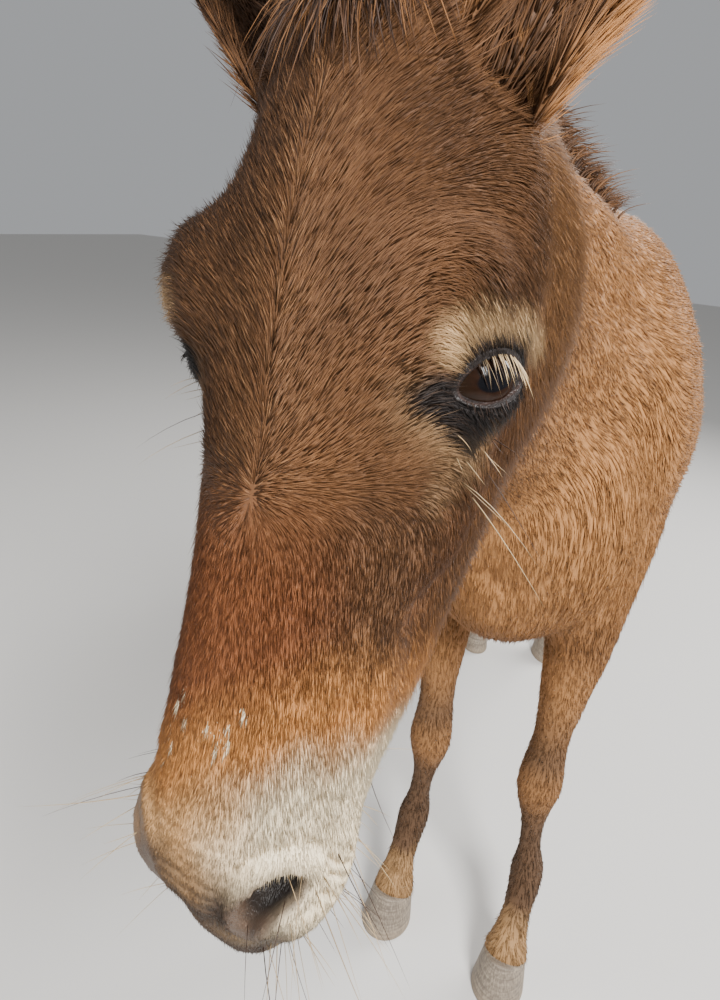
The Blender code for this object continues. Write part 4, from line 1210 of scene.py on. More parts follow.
def unwrap(obj, places, widest=0.3):
    """Gives a skin its map from the unwrap, with no face stretched across a seam."""
    mesh = obj.data
    starts, totals = np.empty((2, len(mesh.polygons)), np.int32)
    mesh.polygons.foreach_get("loop_start", starts)
    mesh.polygons.foreach_get("loop_total", totals)
    spots = places[corners_of(mesh)]
    first = spots[np.repeat(starts, totals)]
    far = np.abs(spots - first).max(1) > widest
    spots[far] = first[far] + 0.0008
    put_map(mesh, spots)


# Node trees

class Term:
    """A socket that can be added, multiplied and so on like a number."""

    def __init__(self, tree, socket):
        self.tree, self.socket = tree, socket

    def joined_by(self, operation, first, second):
        node = self.tree.add("ShaderNodeMath", {"operation": operation}, {0: first, 1: second})
        return Term(self.tree, node.outputs[0])

    def __add__(self, other):
        return self.joined_by("ADD", self, other)

    def __radd__(self, other):
        return self.joined_by("ADD", other, self)

    def __sub__(self, other):
        return self.joined_by("SUBTRACT", self, other)

    def __rsub__(self, other):
        return self.joined_by("SUBTRACT", other, self)

    def __mul__(self, other):
        return self.joined_by("MULTIPLY", self, other)

    def __rmul__(self, other):
        return self.joined_by("MULTIPLY", other, self)

    def __truediv__(self, other):
        return self.joined_by("DIVIDE", self, other)

    def __rtruediv__(self, other):
        return self.joined_by("DIVIDE", other, self)

    def __pow__(self, other):
        return self.joined_by("POWER", self, other)

    def __neg__(self):
        return self.joined_by("MULTIPLY", self, -1.0)

    def between(self, low, high):
        """A smooth step of this value from 0 at low to 1 at high."""
        node = self.tree.add("ShaderNodeMapRange", {"interpolation_type": "SMOOTHSTEP"},
                             {"Value": self, "From Min": low, "From Max": high})
        return Term(self.tree, node.outputs["Result"])


class NodeTree:
    """A tree of nodes under construction."""

    def __init__(self, tree):
        self.tree = tree

    def add(self, kind, settings=None, values=None):
        """A node of a kind, with its settings first and then the values or links of its sockets."""
        node = self.tree.nodes.new(kind)
        for key, value in (settings or {}).items():
            setattr(node, key, value)
        self.feed(node.inputs, values or {})
        return node

    def feed(self, sockets, values):
        """Gives sockets their values or links."""
        for key, value in values.items():
            value = value.socket if isinstance(value, Term) else value
            if isinstance(value, bpy.types.NodeSocket):
                self.tree.links.new(value, sockets[key])
            else:
                sockets[key].default_value = value

    def term(self, kind, settings=None, values=None, output=0):
        """One output of a new node, ready for sums."""
        return Term(self, self.add(kind, settings, values).outputs[output])

    def vector(self, operation, first, second=None, scale=None):
        """A sum, product or the like of vectors."""
        values = {0: first}
        if second is not None:
            values[1] = second
        if scale is not None:
            values["Scale"] = scale
        return self.term("ShaderNodeVectorMath", {"operation": operation}, values)

    def part(self, vector, axis):
        """One of the three numbers of a vector."""
        return self.term("ShaderNodeSeparateXYZ", None, {0: vector}, axis)

    def colour_mix(self, first, second, share):
        """Two colours mixed by a share."""
        return self.term("ShaderNodeMix", {"data_type": "RGBA"}, {0: share, 6: first, 7: second}, 2)


# The inputs of the growing tree: the kind of each, or the number it starts with
GROWTH_INPUTS = {
    "Skin": "Geometry", "Density": 1000.0, "Region": 0.0, "From roots": False, "Length": 1.0, "Width": 1.0,
    "Flatness": 0.45, "Lift": 0.14, "Unrest": 0.12, "Clumps": 0.2, "Clump size": 0.012, "Segments": 1,
    "Belly": 0.0, "Seed": 1, "Finish": "Material",
}


def growth_tree():
    """The tree that grows hair from a skin, or from single roots, along the lie kept on them."""
    found = bpy.data.node_groups.get("growing_hair")
    if found:
        return found
    group = bpy.data.node_groups.new("growing_hair", "GeometryNodeTree")
    group.interface.new_socket("Hair", in_out="OUTPUT", socket_type="NodeSocketGeometry")
    for name, given in GROWTH_INPUTS.items():
        kind = given if isinstance(given, str) else type(given).__name__.capitalize()
        socket = group.interface.new_socket(name, in_out="INPUT", socket_type="NodeSocket" + kind)
        if kind != given:
            socket.default_value = given
    tree = NodeTree(group)
    given = tree.add("NodeGroupInput").outputs

    def kept(name, kind="FLOAT"):
        return tree.term("GeometryNodeInputNamedAttribute", {"data_type": kind}, {"Name": name})

    def chance(low, high, seed, kind="FLOAT"):
        slots = (0, 1) if kind == "FLOAT_VECTOR" else (2, 3)
        output = 0 if kind == "FLOAT_VECTOR" else 1
        mixed_seed = Term(tree, given["Seed"]) * 17.0 + seed
        return tree.term("FunctionNodeRandomValue", {"data_type": kind},
                         {slots[0]: low, slots[1]: high, "Seed": mixed_seed}, output)

    def number(name):
        return Term(tree, given[name])

    here = tree.term("ShaderNodeMath", {"operation": "COMPARE"},
                     {0: kept("region"), 1: number("Region"), 2: 0.4})
    density = number("Density") * kept("thick") * here
    points = tree.term("GeometryNodeDistributePointsOnFaces", {"distribute_method": "RANDOM"},
                       {"Mesh": given["Skin"], "Density": density, "Seed": given["Seed"]})
    roots = tree.term("GeometryNodeMeshToPoints", {"mode": "VERTICES"}, {"Mesh": given["Skin"]})
    start = tree.term("GeometryNodeSwitch", {"input_type": "GEOMETRY"},
                      {"Switch": given["From roots"], "False": points, "True": roots})
    place = tree.term("GeometryNodeInputPosition")
    noise = tree.term("ShaderNodeTexNoise", {}, {
        "Vector": place, "Scale": 1 / number("Clump size"), "Detail": 1.0}, "Color")
    clump = tree.vector("SCALE", tree.vector("SUBTRACT", noise, (0.5, 0.5, 0.5)),
                        scale=number("Clumps") * 2)
    unrest = tree.vector("SCALE", chance((-1, -1, -1), (1, 1, 1), 1, "FLOAT_VECTOR"),
                         scale=number("Unrest"))
    facing = kept("facing", "FLOAT_VECTOR")
    lifted = tree.vector("SCALE", facing, scale=number("Lift") * chance(0.5, 1.5, 2))
    way = tree.vector("ADD", tree.vector("ADD", kept("flow", "FLOAT_VECTOR"), lifted),
                      tree.vector("ADD", clump, unrest))
    way = tree.vector("NORMALIZE", way)
    turned = tree.term("FunctionNodeAxesToRotation", {"primary_axis": "Z", "secondary_axis": "X"},
                       {"Primary Axis": way, "Secondary Axis": facing})
    reach = kept("hair_length") * number("Length") * chance(0.65, 1.25, 3)
    for name, kind, value in (("shade", "FLOAT", chance(0.0, 1.0, 4)), ("reach", "FLOAT", reach)):
        start = tree.term("GeometryNodeStoreNamedAttribute", {"data_type": kind, "domain": "POINT"},
                          {"Geometry": start, "Name": name, "Value": value})
    cone = tree.term("GeometryNodeMeshCone", {"fill_type": "NGON"},
                     {"Vertices": 3, "Side Segments": given["Segments"], "Fill Segments": 1,
                      "Radius Top": 0.0, "Radius Bottom": 1.0, "Depth": 1.0})
    wide, deep, height = (tree.part(place, axis) for axis in "XYZ")
    fuller = 1 + number("Belly") * height
    round_up = tree.term("ShaderNodeCombineXYZ", None, {"X": wide * fuller, "Y": deep * fuller, "Z": height})
    cone = tree.term("GeometryNodeSetPosition", None, {"Geometry": cone, "Position": round_up})
    cone = tree.term("GeometryNodeStoreNamedAttribute", {"data_type": "FLOAT_VECTOR", "domain": "POINT"},
                     {"Geometry": cone, "Name": "tuft", "Value": place})
    broad = kept("hair_width") * number("Width") * chance(0.7, 1.3, 5) * 0.58
    size = tree.term("ShaderNodeCombineXYZ", None,
                     {"X": broad * number("Flatness"), "Y": broad, "Z": kept("reach")})
    hair = tree.term("GeometryNodeInstanceOnPoints", None,
                     {"Points": start, "Instance": cone, "Rotation": turned, "Scale": size})
    hair = tree.term("GeometryNodeRealizeInstances", None, {"Geometry": hair})
    along = tree.part(kept("tuft", "FLOAT_VECTOR"), "Z")
    bend = tree.vector("SCALE", kept("fall", "FLOAT_VECTOR"), scale=kept("reach") * along * along)
    hair = tree.term("GeometryNodeSetPosition", None, {"Geometry": hair, "Offset": bend})
    hair = tree.term("GeometryNodeSetMaterial", None, {"Geometry": hair, "Material": given["Finish"]})
    tree.add("NodeGroupOutput", None, {"Hair": hair})
    return group


TUFT_PATCH = 0.0015  # half the width of each tuft's patch on the map
# What hair takes over from its skin and has no use for, with the skin's map, which would keep its name
SPARE = ("flow", "facing", "fall", "hair_length", "hair_width", "thick", "region", "reach", "atlas",
         "ear_place", "bare", "OFBake")


def grown(name, source, finish, slot, **settings):
    """A piece of hair grown from a skin or from roots, as a plain mesh with its map."""
    group = growth_tree()
    obj = new_object(name, source.data)
    modifier = obj.modifiers.new("growth", "NODES")
    modifier.node_group = group
    settings = {key.replace("_", " "): value for key, value in settings.items()} | {"Finish": finish}
    for item in group.interface.items_tree:
        if item.in_out == "INPUT" and item.name in settings:
            modifier[item.identifier] = settings[item.name]
    obj.update_tag()
    bpy.context.view_layer.update()
    mesh = applied(obj).data
    mesh.name = name
    spots = stored(obj, "atlas", 3)[:, :2] + stored(obj, "tuft", 3)[:, :2] * TUFT_PATCH
    for spare in SPARE:
        if spare in mesh.attributes:
            mesh.attributes.remove(mesh.attributes[spare])
    put_map(mesh, spots[corners_of(mesh)])
    mesh.shade_smooth()
    if not mesh.materials:
        mesh.materials.append(finish)
    return finished(obj, slot)


def grown_long(name, source, finish, slot, **settings):
    """A piece of hair grown from single roots, which are then taken away."""
    obj = grown(name, source, finish, slot, From_roots=True, Lift=0.0, **settings)
    mesh = source.data
    bpy.data.objects.remove(source)
    if mesh.users == 0:
        bpy.data.meshes.remove(mesh)
    return obj


def finished(obj, slot, *nodes):
    """Puts a piece on the body, in place of the solids it stands for. Its material slot is not used."""
    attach(obj, "root")
    if nodes:
        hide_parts(*nodes)
    return obj


def kept_on(tree, name, output="Fac"):
    """A number, colour or vector kept on a mesh."""
    return tree.term("ShaderNodeAttribute", {"attribute_name": name}, None, output)


def opaque(colour):
    """A colour as a shader's socket takes it."""
    return (*colour, 1)


def new_tree(name):
    """A new material and its tree."""
    material = bpy.data.materials.get(name)
    if material:
        bpy.data.materials.remove(material)
    material = bpy.data.materials.new(name)
    material.use_nodes = True
    return material, NodeTree(material.node_tree)


def finish(material, tree, values):
    """The material with the values and links of its shader."""
    tree.feed(material.node_tree.nodes["Principled BSDF"].inputs, values)
    return material


def noise(tree, scale, detail=2.0, vector=None):
    """An even noise between 0 and 1 over the piece."""
    if vector is None:
        vector = tree.term("ShaderNodeTexCoord", None, None, "Object")
    return tree.term("ShaderNodeTexNoise", None, {"Vector": vector, "Scale": scale, "Detail": detail}, "Fac")


def bumped(tree, height, strength, distance):
    """A normal that follows a height."""
    return tree.term("ShaderNodeBump", None, {"Height": height, "Strength": strength, "Distance": distance})


def skin_finish():
    """Skin under the coat: the coat's own colours, with pores and fine wrinkles where it is bare."""
    material, tree = new_tree("coat_skin")
    bare = kept_on(tree, "bare")
    fine = noise(tree, 900.0, 3.0)
    broad = noise(tree, 55.0, 4.0)
    pores = tree.term("ShaderNodeTexVoronoi", {"feature": "DISTANCE_TO_EDGE"}, {"Scale": 620.0})
    height = fine * 0.6 + pores.between(0.0, 0.25) * bare * 1.2
    tone = 0.62 + 0.3 * broad + 0.3 * fine
    return finish(material, tree, {
        "Base Color": tree.vector("SCALE", kept_on(tree, "coat_colour", "Color"), scale=tone),
        "Roughness": 0.72 - 0.26 * bare + 0.1 * fine,
        "Normal": bumped(tree, height, 0.55, 0.0006),
        "Specular IOR Level": 0.35})


def hair_finish(name, roughness, glow):
    """Hair: each tuft a little lighter or darker, darker at its root and paler at its tip."""
    material, tree = new_tree(name)
    shade, contrast = kept_on(tree, "shade"), kept_on(tree, "contrast")
    tip = tree.part(kept_on(tree, "tuft", "Vector"), "Z")
    patch = noise(tree, 120.0)
    dark = (1 - shade.between(0.0, 0.4)) * contrast
    pale = shade.between(0.74, 1.0) * contrast
    tone = (0.66 + 0.4 * tip) * (0.86 + 0.28 * patch) * (0.9 + 0.2 * shade) * (1 - 0.75 * dark)
    colour = tree.vector("SCALE", kept_on(tree, "coat_colour", "Color"), scale=tone)
    return finish(material, tree, {
        # Pale strands take the glow colour; on the face it is partly a painted sheen
        "Base Color": tree.colour_mix(colour, opaque(glow), pale * 0.42),
        "Roughness": roughness + 0.16 * patch,
        "Specular IOR Level": 0.22})


def eye_finish(tints):
    """A dark wet eye: a long level pupil in a deep brown iris, under a clear coat."""
    material, tree = new_tree("eye_ball")
    gaze = kept_on(tree, "gaze", "Vector")
    along, up = tree.part(gaze, "Y"), tree.part(gaze, "Z")
    away = (along * along + up * up) ** 0.5
    pupil = ((along / 0.44) ** 2.0 + (up / 0.24) ** 2.0) ** 0.5
    rays = noise(tree, 420.0, 3.0)
    iris = tree.colour_mix(opaque(tints.iris), (0.012, 0.006, 0.003, 1), away.between(0.42, 0.72))
    colour = tree.colour_mix((0.003, 0.003, 0.004, 1), tree.vector("SCALE", iris, scale=0.5 + rays),
                             pupil.between(0.92, 1.1))
    return finish(material, tree, {
        "Base Color": tree.colour_mix(colour, (0.022, 0.012, 0.008, 1), away.between(0.7, 0.8)),
        "Roughness": 0.16 + 0.1 * away.between(0.7, 0.85),
        "Coat Weight": 0.35, "Coat Roughness": 0.03, "Coat IOR": 1.33,
        "Specular IOR Level": 0.1})


def horn_finish(tints):
    """Hoof horn: grey, with growth rings, fine upright grain and dust near the ground."""
    material, tree = new_tree("hoof_horn_fine")
    place = tree.term("ShaderNodeTexCoord", None, None, "Object")
    grain = noise(tree, 1.0, 3.0, tree.vector("MULTIPLY", place, (420.0, 420.0, 26.0)))
    rings = noise(tree, 1.0, 2.0, tree.vector("MULTIPLY", place, (12.0, 12.0, 230.0)))
    colour = tree.colour_mix(opaque(tints.horn), opaque(tints.horn_pale),
                             (grain * 0.7 + rings * 0.5).between(0.42, 0.85))
    dust = (1 - tree.part(place, "Z").between(0.0, 0.03)) * noise(tree, 70.0, 3.0)
    return finish(material, tree, {
        "Base Color": tree.colour_mix(colour, (0.33, 0.25, 0.17, 1), dust * 0.8),
        "Roughness": 0.48 + 0.25 * grain,
        "Normal": bumped(tree, rings * 0.8 + grain * 0.4, 0.6, 0.0016)})


# Pieces

REGIONS = {"head": 0, "body": 1, "lids": 2, "ear_left": 3, "ear_right": 4}
CELLS = {  # left, bottom, width and height of each region's share of the skin's map
    "head": (0.0, 0.0, 0.6, 1.0), "body": (0.61, 0.0, 0.39, 0.66), "lids_left": (0.61, 0.67, 0.38, 0.07),
    "lids_right": (0.61, 0.75, 0.38, 0.07), "ear_left": (0.61, 0.83, 0.38, 0.08),
    "ear_right": (0.61, 0.92, 0.38, 0.07),
}
MARGIN_COLOUR = np.array([0.055, 0.03, 0.023])  # the wet margin of the lids
DOWNHILL = np.array([0, 0, -1.0])
SIDEWAYS = np.array([1.0, 0, 0])


def marked(obj, region, cell=None):
    """Keeps a shell's region and the way its surface faces, and moves its map into its share."""
    normals = normals_of(obj)
    keep(obj, region=float(REGIONS[region]), facing=normals, fall=np.zeros_like(normals))
    left, bottom, width, height = CELLS[cell or region]
    layer = obj.data.uv_layers["OFBake"].data
    flat = np.empty(len(layer) * 2, np.float32)
    layer.foreach_get("uv", flat)
    put_map(obj.data, flat.reshape(-1, 2) * [width, height] + [left, bottom])
    return obj


def under_lids(obj, outer):
    """Thins the hair of the skin under the lids, or of the lids beyond their skirts."""
    thick = stored(obj, "thick", 1)
    for side in SIDES.values():
        scale = about_eye(points_of(obj), side)[2]
        share = rise(1.5, 1.62, scale)
        thick = np.where(scale < 2.2, thick * (share if outer else 1 - share), thick)
    store(obj, "thick", thick)


def dressed_lids(name, side, tints):
    """One eye's lids with their coat and map."""
    obj = dress(lid_ring(side), tints, True)
    along, up, scale, _ = about_eye(points_of(obj), side)
    turn = np.arctan2(up, along) / (2 * math.pi) + 0.5
    unwrap(obj, columns(turn * 0.96 + 0.02, np.clip((scale - 0.85) / 1.1, 0, 1)))
    under_lids(obj, False)
    colours = layered(stored(obj, "coat_colour", 4)[:, :3], (tints.lid, rise(1.42, 1.16, scale)),
                      (MARGIN_COLOUR, 0.6 * hump(scale, 0.965, 0.02)))
    keep(obj, coat_colour=colours, bare=np.maximum(stored(obj, "bare", 1), rise(1.16, 1.03, scale)))
    return marked(obj, "lids", "lids_" + name)


def dressed_ear(name, side, tints):
    """One ear with its coat: brown outside with a dark edge and tip, long pale hair inside, and painted shade
    deep in the base of its cup.
    """
    obj, axis, across = ear_leaf(name, side)
    points, normals = points_of(obj), normals_of(obj)
    share, turn, inner = stored(obj, "ear_place", 3).T
    outer, off = 1 - inner, np.abs(turn)
    patch = unevenness(points, 0.05, 8)
    ways = np.tile(axis, (len(points), 1)) + 0.25 * across * np.outer(np.sign(turn) * inner, [1, 1, 1])
    ways = ways + 0.05 * np.outer(patch, across)
    edge, low, base = rise(0.72, 0.98, off), rise(0.75, 0.25, share), rise(0.3, 0.02, share)
    colours = layered(
        tints.chestnut * 1.05,
        (tints.tan, 0.55 * rise(0.45, 0.1, share) * outer),
        # Painted shade deep in the base of the cup
        (tints.dark * 1.6, 0.8 * rise(0.3, 0.1, share) * inner),
        (tints.throat * 0.8, inner * low * 0.75),
        (tints.chestnut * 0.5, inner * rise(0.6, 0.2, off) * 0.7),
        (tints.dark, 0.85 * rise(0.8, 0.97, share + 0.02 * patch)),
        (tints.dark, 0.6 * rise(0.86, 0.99, off) * (1 - inner * low)),
    )
    spot = columns(turn * 0.24 + 0.25 + 0.5 * inner, np.clip(share, 0, 1) * 0.96 + 0.02)
    keep(obj, flow=unit(ways - normals * (ways * normals).sum(1)[:, None]),
         hair_length=0.01 + inner * low * (0.008 + 0.02 * edge) + 0.004 * edge * outer + 0.015 * base,
         hair_width=0.0012 + 0.0003 * base, thick=rise(-0.13, -0.08, share) * (1 - 0.35 * inner),
         coat_colour=colours, contrast=0.45, bare=inner * 0.2, atlas=spot)
    unwrap(obj, spot)
    return marked(obj, "ear_" + name)


def roots(places, **looks):
    """A mesh of single points from which long hair grows, in an even grid on its map."""
    count = len(places)
    wide = math.ceil(math.sqrt(count))
    index = np.arange(count)
    grid = columns((index % wide + 0.5) / wide, (index // wide + 0.5) / wide) * 0.97 + 0.015
    obj = mesh_object("roots", places, [])
    keep(obj, atlas=grid, region=0.0, **looks)
    return obj


CREST_HALF = 0.022  # half the width of the mane's strip of skin


def crest_places(count, draw):
    """Places on both sides of the crest, with the outward, sideways and backward directions."""
    neck = SWEEPS["neck"]
    share = draw.uniform(0.05, 0.84, count)
    at = (1 - share) * (neck.SAMPLES - 1)
    index = at.astype(int)
    part = (at - index)[:, None]
    following = np.minimum(index + 1, neck.SAMPLES - 1)
    centre = neck.centre[index] * (1 - part) + neck.centre[following] * part
    up = unit(neck.front[index] * (1 - part) + neck.front[following] * part)
    offset = draw.normal(0, CREST_HALF * 0.55, count)
    start = centre + np.outer(offset, SIDEWAYS)
    reach = surface_radius(start, up, lambda p: body_distance(p) + 0.004, 0.3, 30)
    return share, start + up * reach[:, None], up, offset, -neck.along[index]


def mane_roots(settings, tints):
    """The mane: short, thick hair that rises from the crest and falls over to both sides."""
    draw = np.random.default_rng(41)
    count = settings.mane_hairs
    share, places, up, offset, back = crest_places(count, draw)
    side = np.sign(offset + draw.normal(0, 0.006, count))
    flow = unit(up + np.outer(side * draw.uniform(0.0, 0.25, count), SIDEWAYS) + back * 0.15)
    fall = np.outer(side * draw.uniform(0.1, 0.5, count), SIDEWAYS)
    fall = fall + back * draw.uniform(0, 0.35, (count, 1))
    fall = fall - flow * draw.uniform(0.1, 0.45, (count, 1))
    length = settings.mane_length * (0.72 + 0.28 * np.sin(math.pi * share)) * draw.uniform(0.7, 1.08, count)
    colour = mixed(tints.mane, tints.throat, 0.2 + draw.random(count) * 0.6)
    return roots(places, flow=swung(places, flow), facing=swung(places, up),
                 fall=swung(places, fall) * 0.75, hair_length=length, hair_width=0.0032, coat_colour=colour,
                 contrast=0.5)


def forelock_roots(settings, tints):
    """The forelock: short dark hair that rises between the ears and falls down the forehead."""
    draw = np.random.default_rng(43)
    count = settings.forelock_hairs
    x = draw.normal(0, 0.014, count).clip(-0.028, 0.028)
    places = head_points(columns(x, draw.uniform(-0.014, 0.016, count), -0.02))
    out = np.tile(HEAD[2], (count, 1))
    reach = surface_radius(places, out, lambda p: near_distance(p) + 0.002, 0.05, 30)
    flow = columns(x * 9 + draw.normal(0, 0.12, count), draw.uniform(-0.3, 0.25, count), 0.85)
    fall = columns(x * 10 + draw.normal(0, 0.2, count), draw.uniform(0.7, 1.0, count),
                   -0.7 + draw.normal(0, 0.1, count))
    length = settings.forelock_length * draw.uniform(0.55, 1.1, count)
    pale = rise(0.35, 0.75, draw.random(count) + 0.1 * np.sin(x * 300))
    return roots(places + out * reach[:, None], flow=unit(flow @ HEAD), facing=unit(out),
                 fall=fall @ HEAD, hair_length=length, hair_width=0.0014,
                 coat_colour=mixed(tints.mane, tints.throat, pale), contrast=0.6)


def tail_roots(settings, tints):
    """The tail's long hair from its dock."""
    draw = np.random.default_rng(47)
    count = settings.tail_hairs
    dock = SWEEPS["dock"]
    share = draw.uniform(0.3, 1.0, count)
    index = (share * (dock.SAMPLES - 1)).astype(int)
    turn = draw.uniform(-math.pi, math.pi, count)
    out = dock.front[index] * np.cos(turn)[:, None] + dock.side[index] * np.sin(turn)[:, None]
    places = dock.centre[index] + out * dock.waves[index, :1] * 0.9
    flow = unit(out * 0.3 + dock.along[index])
    fall = columns(out[:, 0] * 0.06, out[:, 1] * 0.04 - 0.04, -0.9)
    fall = fall - flow * draw.uniform(0.86, 0.98, (count, 1))
    length = settings.tail_length * (0.7 + 0.35 * share) * draw.uniform(0.62, 1.0, count)
    colour = mixed(tints.mane, tints.body * 0.7, rise(0.75, 0.3, share) * 0.7 + 0.25 * draw.random(count))
    return roots(places, flow=swung(places, flow), facing=swung(places, out), fall=fall,
                 hair_length=length, hair_width=0.0062, coat_colour=colour, contrast=0.5)


UPPER_LASHES, LOWER_LASHES = 34, 16


def lash_roots(side, tints, pale):
    """Lashes along the edge of the upper lid, and a few shorter ones along the lower."""
    draw = np.random.default_rng(53 if side > 0 else 59)
    centre, (out, along, up) = eye_frame(side)
    turns = np.r_[draw.uniform(0.08, 0.6, UPPER_LASHES) * math.pi,
                  -draw.uniform(0.15, 0.85, LOWER_LASHES) * math.pi]
    count = len(turns)
    above, rear = np.sin(turns) > 0, np.cos(turns)
    ways = lid_direction(side, turns, 1.0)
    ways = unit(ways + 0.012 * np.outer(np.where(above, 1, -1), up) * draw.uniform(0.3, 1.6, (count, 1)))
    flow = out * 0.5 + np.outer(np.where(above, -0.9, -0.8), up) + np.outer(rear * 0.12 - 0.12, along)
    flow = unit(flow + draw.normal(0, 0.1, (count, 3)))
    fall = np.outer(np.where(above, -0.35, -0.25), up) - 0.15 * out
    length = np.where(above, 0.0155 * (0.6 + 0.4 * rise(-0.6, 0.5, rear)), 0.006)
    colour = tints.dark * 0.6
    if pale:
        light = rise(-0.35, 0.15, rear) * above * (draw.random(count) < 0.9)
        colour = mixed(colour, tints.lash_pale, light)
    return roots(centre + ways * (EYE_RADIUS + 0.0024), flow=flow, facing=ways, fall=fall,
                 hair_length=length * draw.uniform(0.6, 1.1, count), hair_width=0.00062, coat_colour=colour,
                 contrast=0.1)


def on_head(local):
    """Points of the head's skin in the direction of a place from the middle of the head there."""
    local = np.asarray(local, float)
    middle = head_points(columns(0.0, local[:, 1], -0.078))
    ways = unit(head_points(local) - middle)
    return middle + ways * surface_radius(middle, ways, skin_distance, 0.12)[:, None], ways


FEELERS = [
    # how many, then the ranges of their sideways place, place down the face, depth and length
    (42, (0.02, 0.07), (0.425, 0.5), (-0.1, -0.035), (0.022, 0.06)),
    (9, (0.08, 0.095), (0.2, 0.215), (-0.085, -0.04), (0.014, 0.024)),
    (4, (0.084, 0.1), (0.215, 0.235), (-0.09, -0.06), (0.045, 0.062)),
]
CHIN_FEELERS = 38


def feeler_roots(tints):
    """Single stiff feelers on the lips, nostrils and chin, and below and behind each eye."""
    draw = np.random.default_rng(61)
    local, length = [], []
    for side in SIDES.values():
        for number, *ranges in FEELERS:
            for _ in range(number):
                across, down, out, long = (draw.uniform(*ends) for ends in ranges)
                local.append((side * across, down, out))
                length.append(long)
    for _ in range(CHIN_FEELERS):
        local.append((draw.normal(0, 0.022), draw.uniform(0.42, 0.49), draw.uniform(-0.15, -0.11)))
        length.append(draw.uniform(0.018, 0.045))
    places, ways = on_head(local)
    count = len(places)
    flow = unit(ways + np.outer(draw.uniform(0.2, 0.8, count), HEAD[1]) + draw.normal(0, 0.18, (count, 3)))
    fall = np.outer(draw.uniform(0.0, 0.25, count), DOWNHILL) + draw.normal(0, 0.06, (count, 3))
    colour = mixed(tints.dark, tints.lash_pale, (draw.random(count) < 0.75) * 0.85)
    return roots(places, flow=flow, facing=ways, fall=fall, hair_length=length,
                 hair_width=0.0005, coat_colour=colour, contrast=0.0)


FLECKS = [(-0.017, 0.375), (0.001, 0.372), (0.007, 0.371), (0.0125, 0.369), (0.0085, 0.379),
          (0.0146, 0.3755), (0.0204, 0.357), (-0.037, 0.404), (-0.03, 0.371), (-0.024, 0.362),
          (-0.034, 0.384), (-0.028, 0.392)]
HAIRS_IN_A_FLECK = 26


def fleck_roots(tints):
    """Small groups of white hairs in the band above the muzzle."""
    draw = np.random.default_rng(67)
    local = [(x + draw.normal(0, 0.0011), down + draw.normal(0, 0.0022), 0.0)
             for x, down in FLECKS for _ in range(HAIRS_IN_A_FLECK)]
    places, ways = on_head(local)
    count = len(places)
    flow = unit(np.tile(HEAD[1], (count, 1)) + 0.28 * ways + draw.normal(0, 0.1, (count, 3)))
    return roots(places, flow=flow, facing=ways, fall=-0.15 * ways,
                 hair_length=draw.uniform(0.004, 0.007, count), hair_width=0.00085,
                 coat_colour=tints.mealy_pale * 1.15, contrast=0.1)


ROUND = np.linspace(0, 2 * math.pi, 96, endpoint=False)


def eye_ball(name, side):
    """An eye with a clear bulge over its iris."""
    centre, axes = eye_frame(side)
    rings, gaze = [], []
    for bend in np.r_[np.linspace(0.02, 1.25, 40), np.linspace(1.3, 3.12, 26)]:
        way = columns(math.cos(bend), math.sin(bend) * np.cos(ROUND), math.sin(bend) * np.sin(ROUND))
        reach = EYE_RADIUS - 0.0002 + 0.001 * float(rise(0.72, 0.3, math.sin(min(bend, 1.57))))
        rings.append(centre + way @ axes * reach)
        gaze.append(way)
    obj = mesh_object("eye_" + name + "_ball", *rings_mesh(rings))
    keep(obj, gaze=np.concatenate(gaze))
    reworked(obj, turn_out).data.shade_smooth()
    return obj


CORONET_Z, CORONET_SLOPE, CORONET_BACK = 0.06, 0.42, 0.014
HOOVES = {  # the middle of each foot's line, then half its length and width
    "front": (-0.078, 0.055, 0.046),
    "hind": (0.952, 0.053, 0.043),
}


def fine_hoof(kind, name, side, step):
    """A hoof with growth rings, heels and a coronet that rolls in under the hair."""
    y, half_length, half_width = HOOVES[kind]
    front = -np.cos(ROUND)
    rings = []
    for share in np.r_[0.0, 0.015, 0.05, np.linspace(0.09, 0.97, 44), 0.99, 1.0]:
        spread = 1.0 - 0.2 * share - (0.03 if share == 0 else 0.008 if share < 0.02 else 0.0)
        spread += 0.006 * math.sin(share * 46) * float(rise(0.05, 0.15, share)) * 0.6
        spread -= 0.05 * float(rise(0.985, 1.0, share))
        heel = 0.05 * hump(front, 1.0, 0.1) * (1 - share * 0.5)
        length = half_length * spread * np.where(front > 0, 0.93, 1.0) * (1 - heel)
        ring_y = y + step + 0.017 * share + front * length
        top = CORONET_Z - CORONET_SLOPE * (ring_y - y - step - CORONET_BACK)
        rings.append(columns(side * HOOF_GAP_X + np.sin(ROUND) * half_width * spread, ring_y,
                             share * (top + 0.001)))
    obj = mesh_object(f"{kind}_hoof_{name}_horn", *rings_mesh(rings))
    reworked(obj, turn_out).data.shade_smooth()
    return obj


# Settings

def colour_setting(name, description, default):
    """A colour that a user can change."""
    return FloatVectorProperty(name=name, description=description, subtype="COLOR", size=3, min=0, max=1,
                               default=default)


def length_setting(name, description, default):
    """A length that a user can change."""
    return FloatProperty(name=name, description=description, unit="LENGTH", min=0, precision=4,
                         default=default)


def count_setting(name, description, default):
    """A number of hairs that a user can change."""
    return IntProperty(name=name, description=description, min=10, default=default)


def turn_setting(name, description, degrees):
    """An angle that a user can change."""
    return FloatProperty(name=name, description=description, subtype="ANGLE", default=math.radians(degrees))


def power_setting(name, description, default):
    """The power of a light, which a user can change."""
    return FloatProperty(name=name, description=description, subtype="POWER", min=0, default=default)


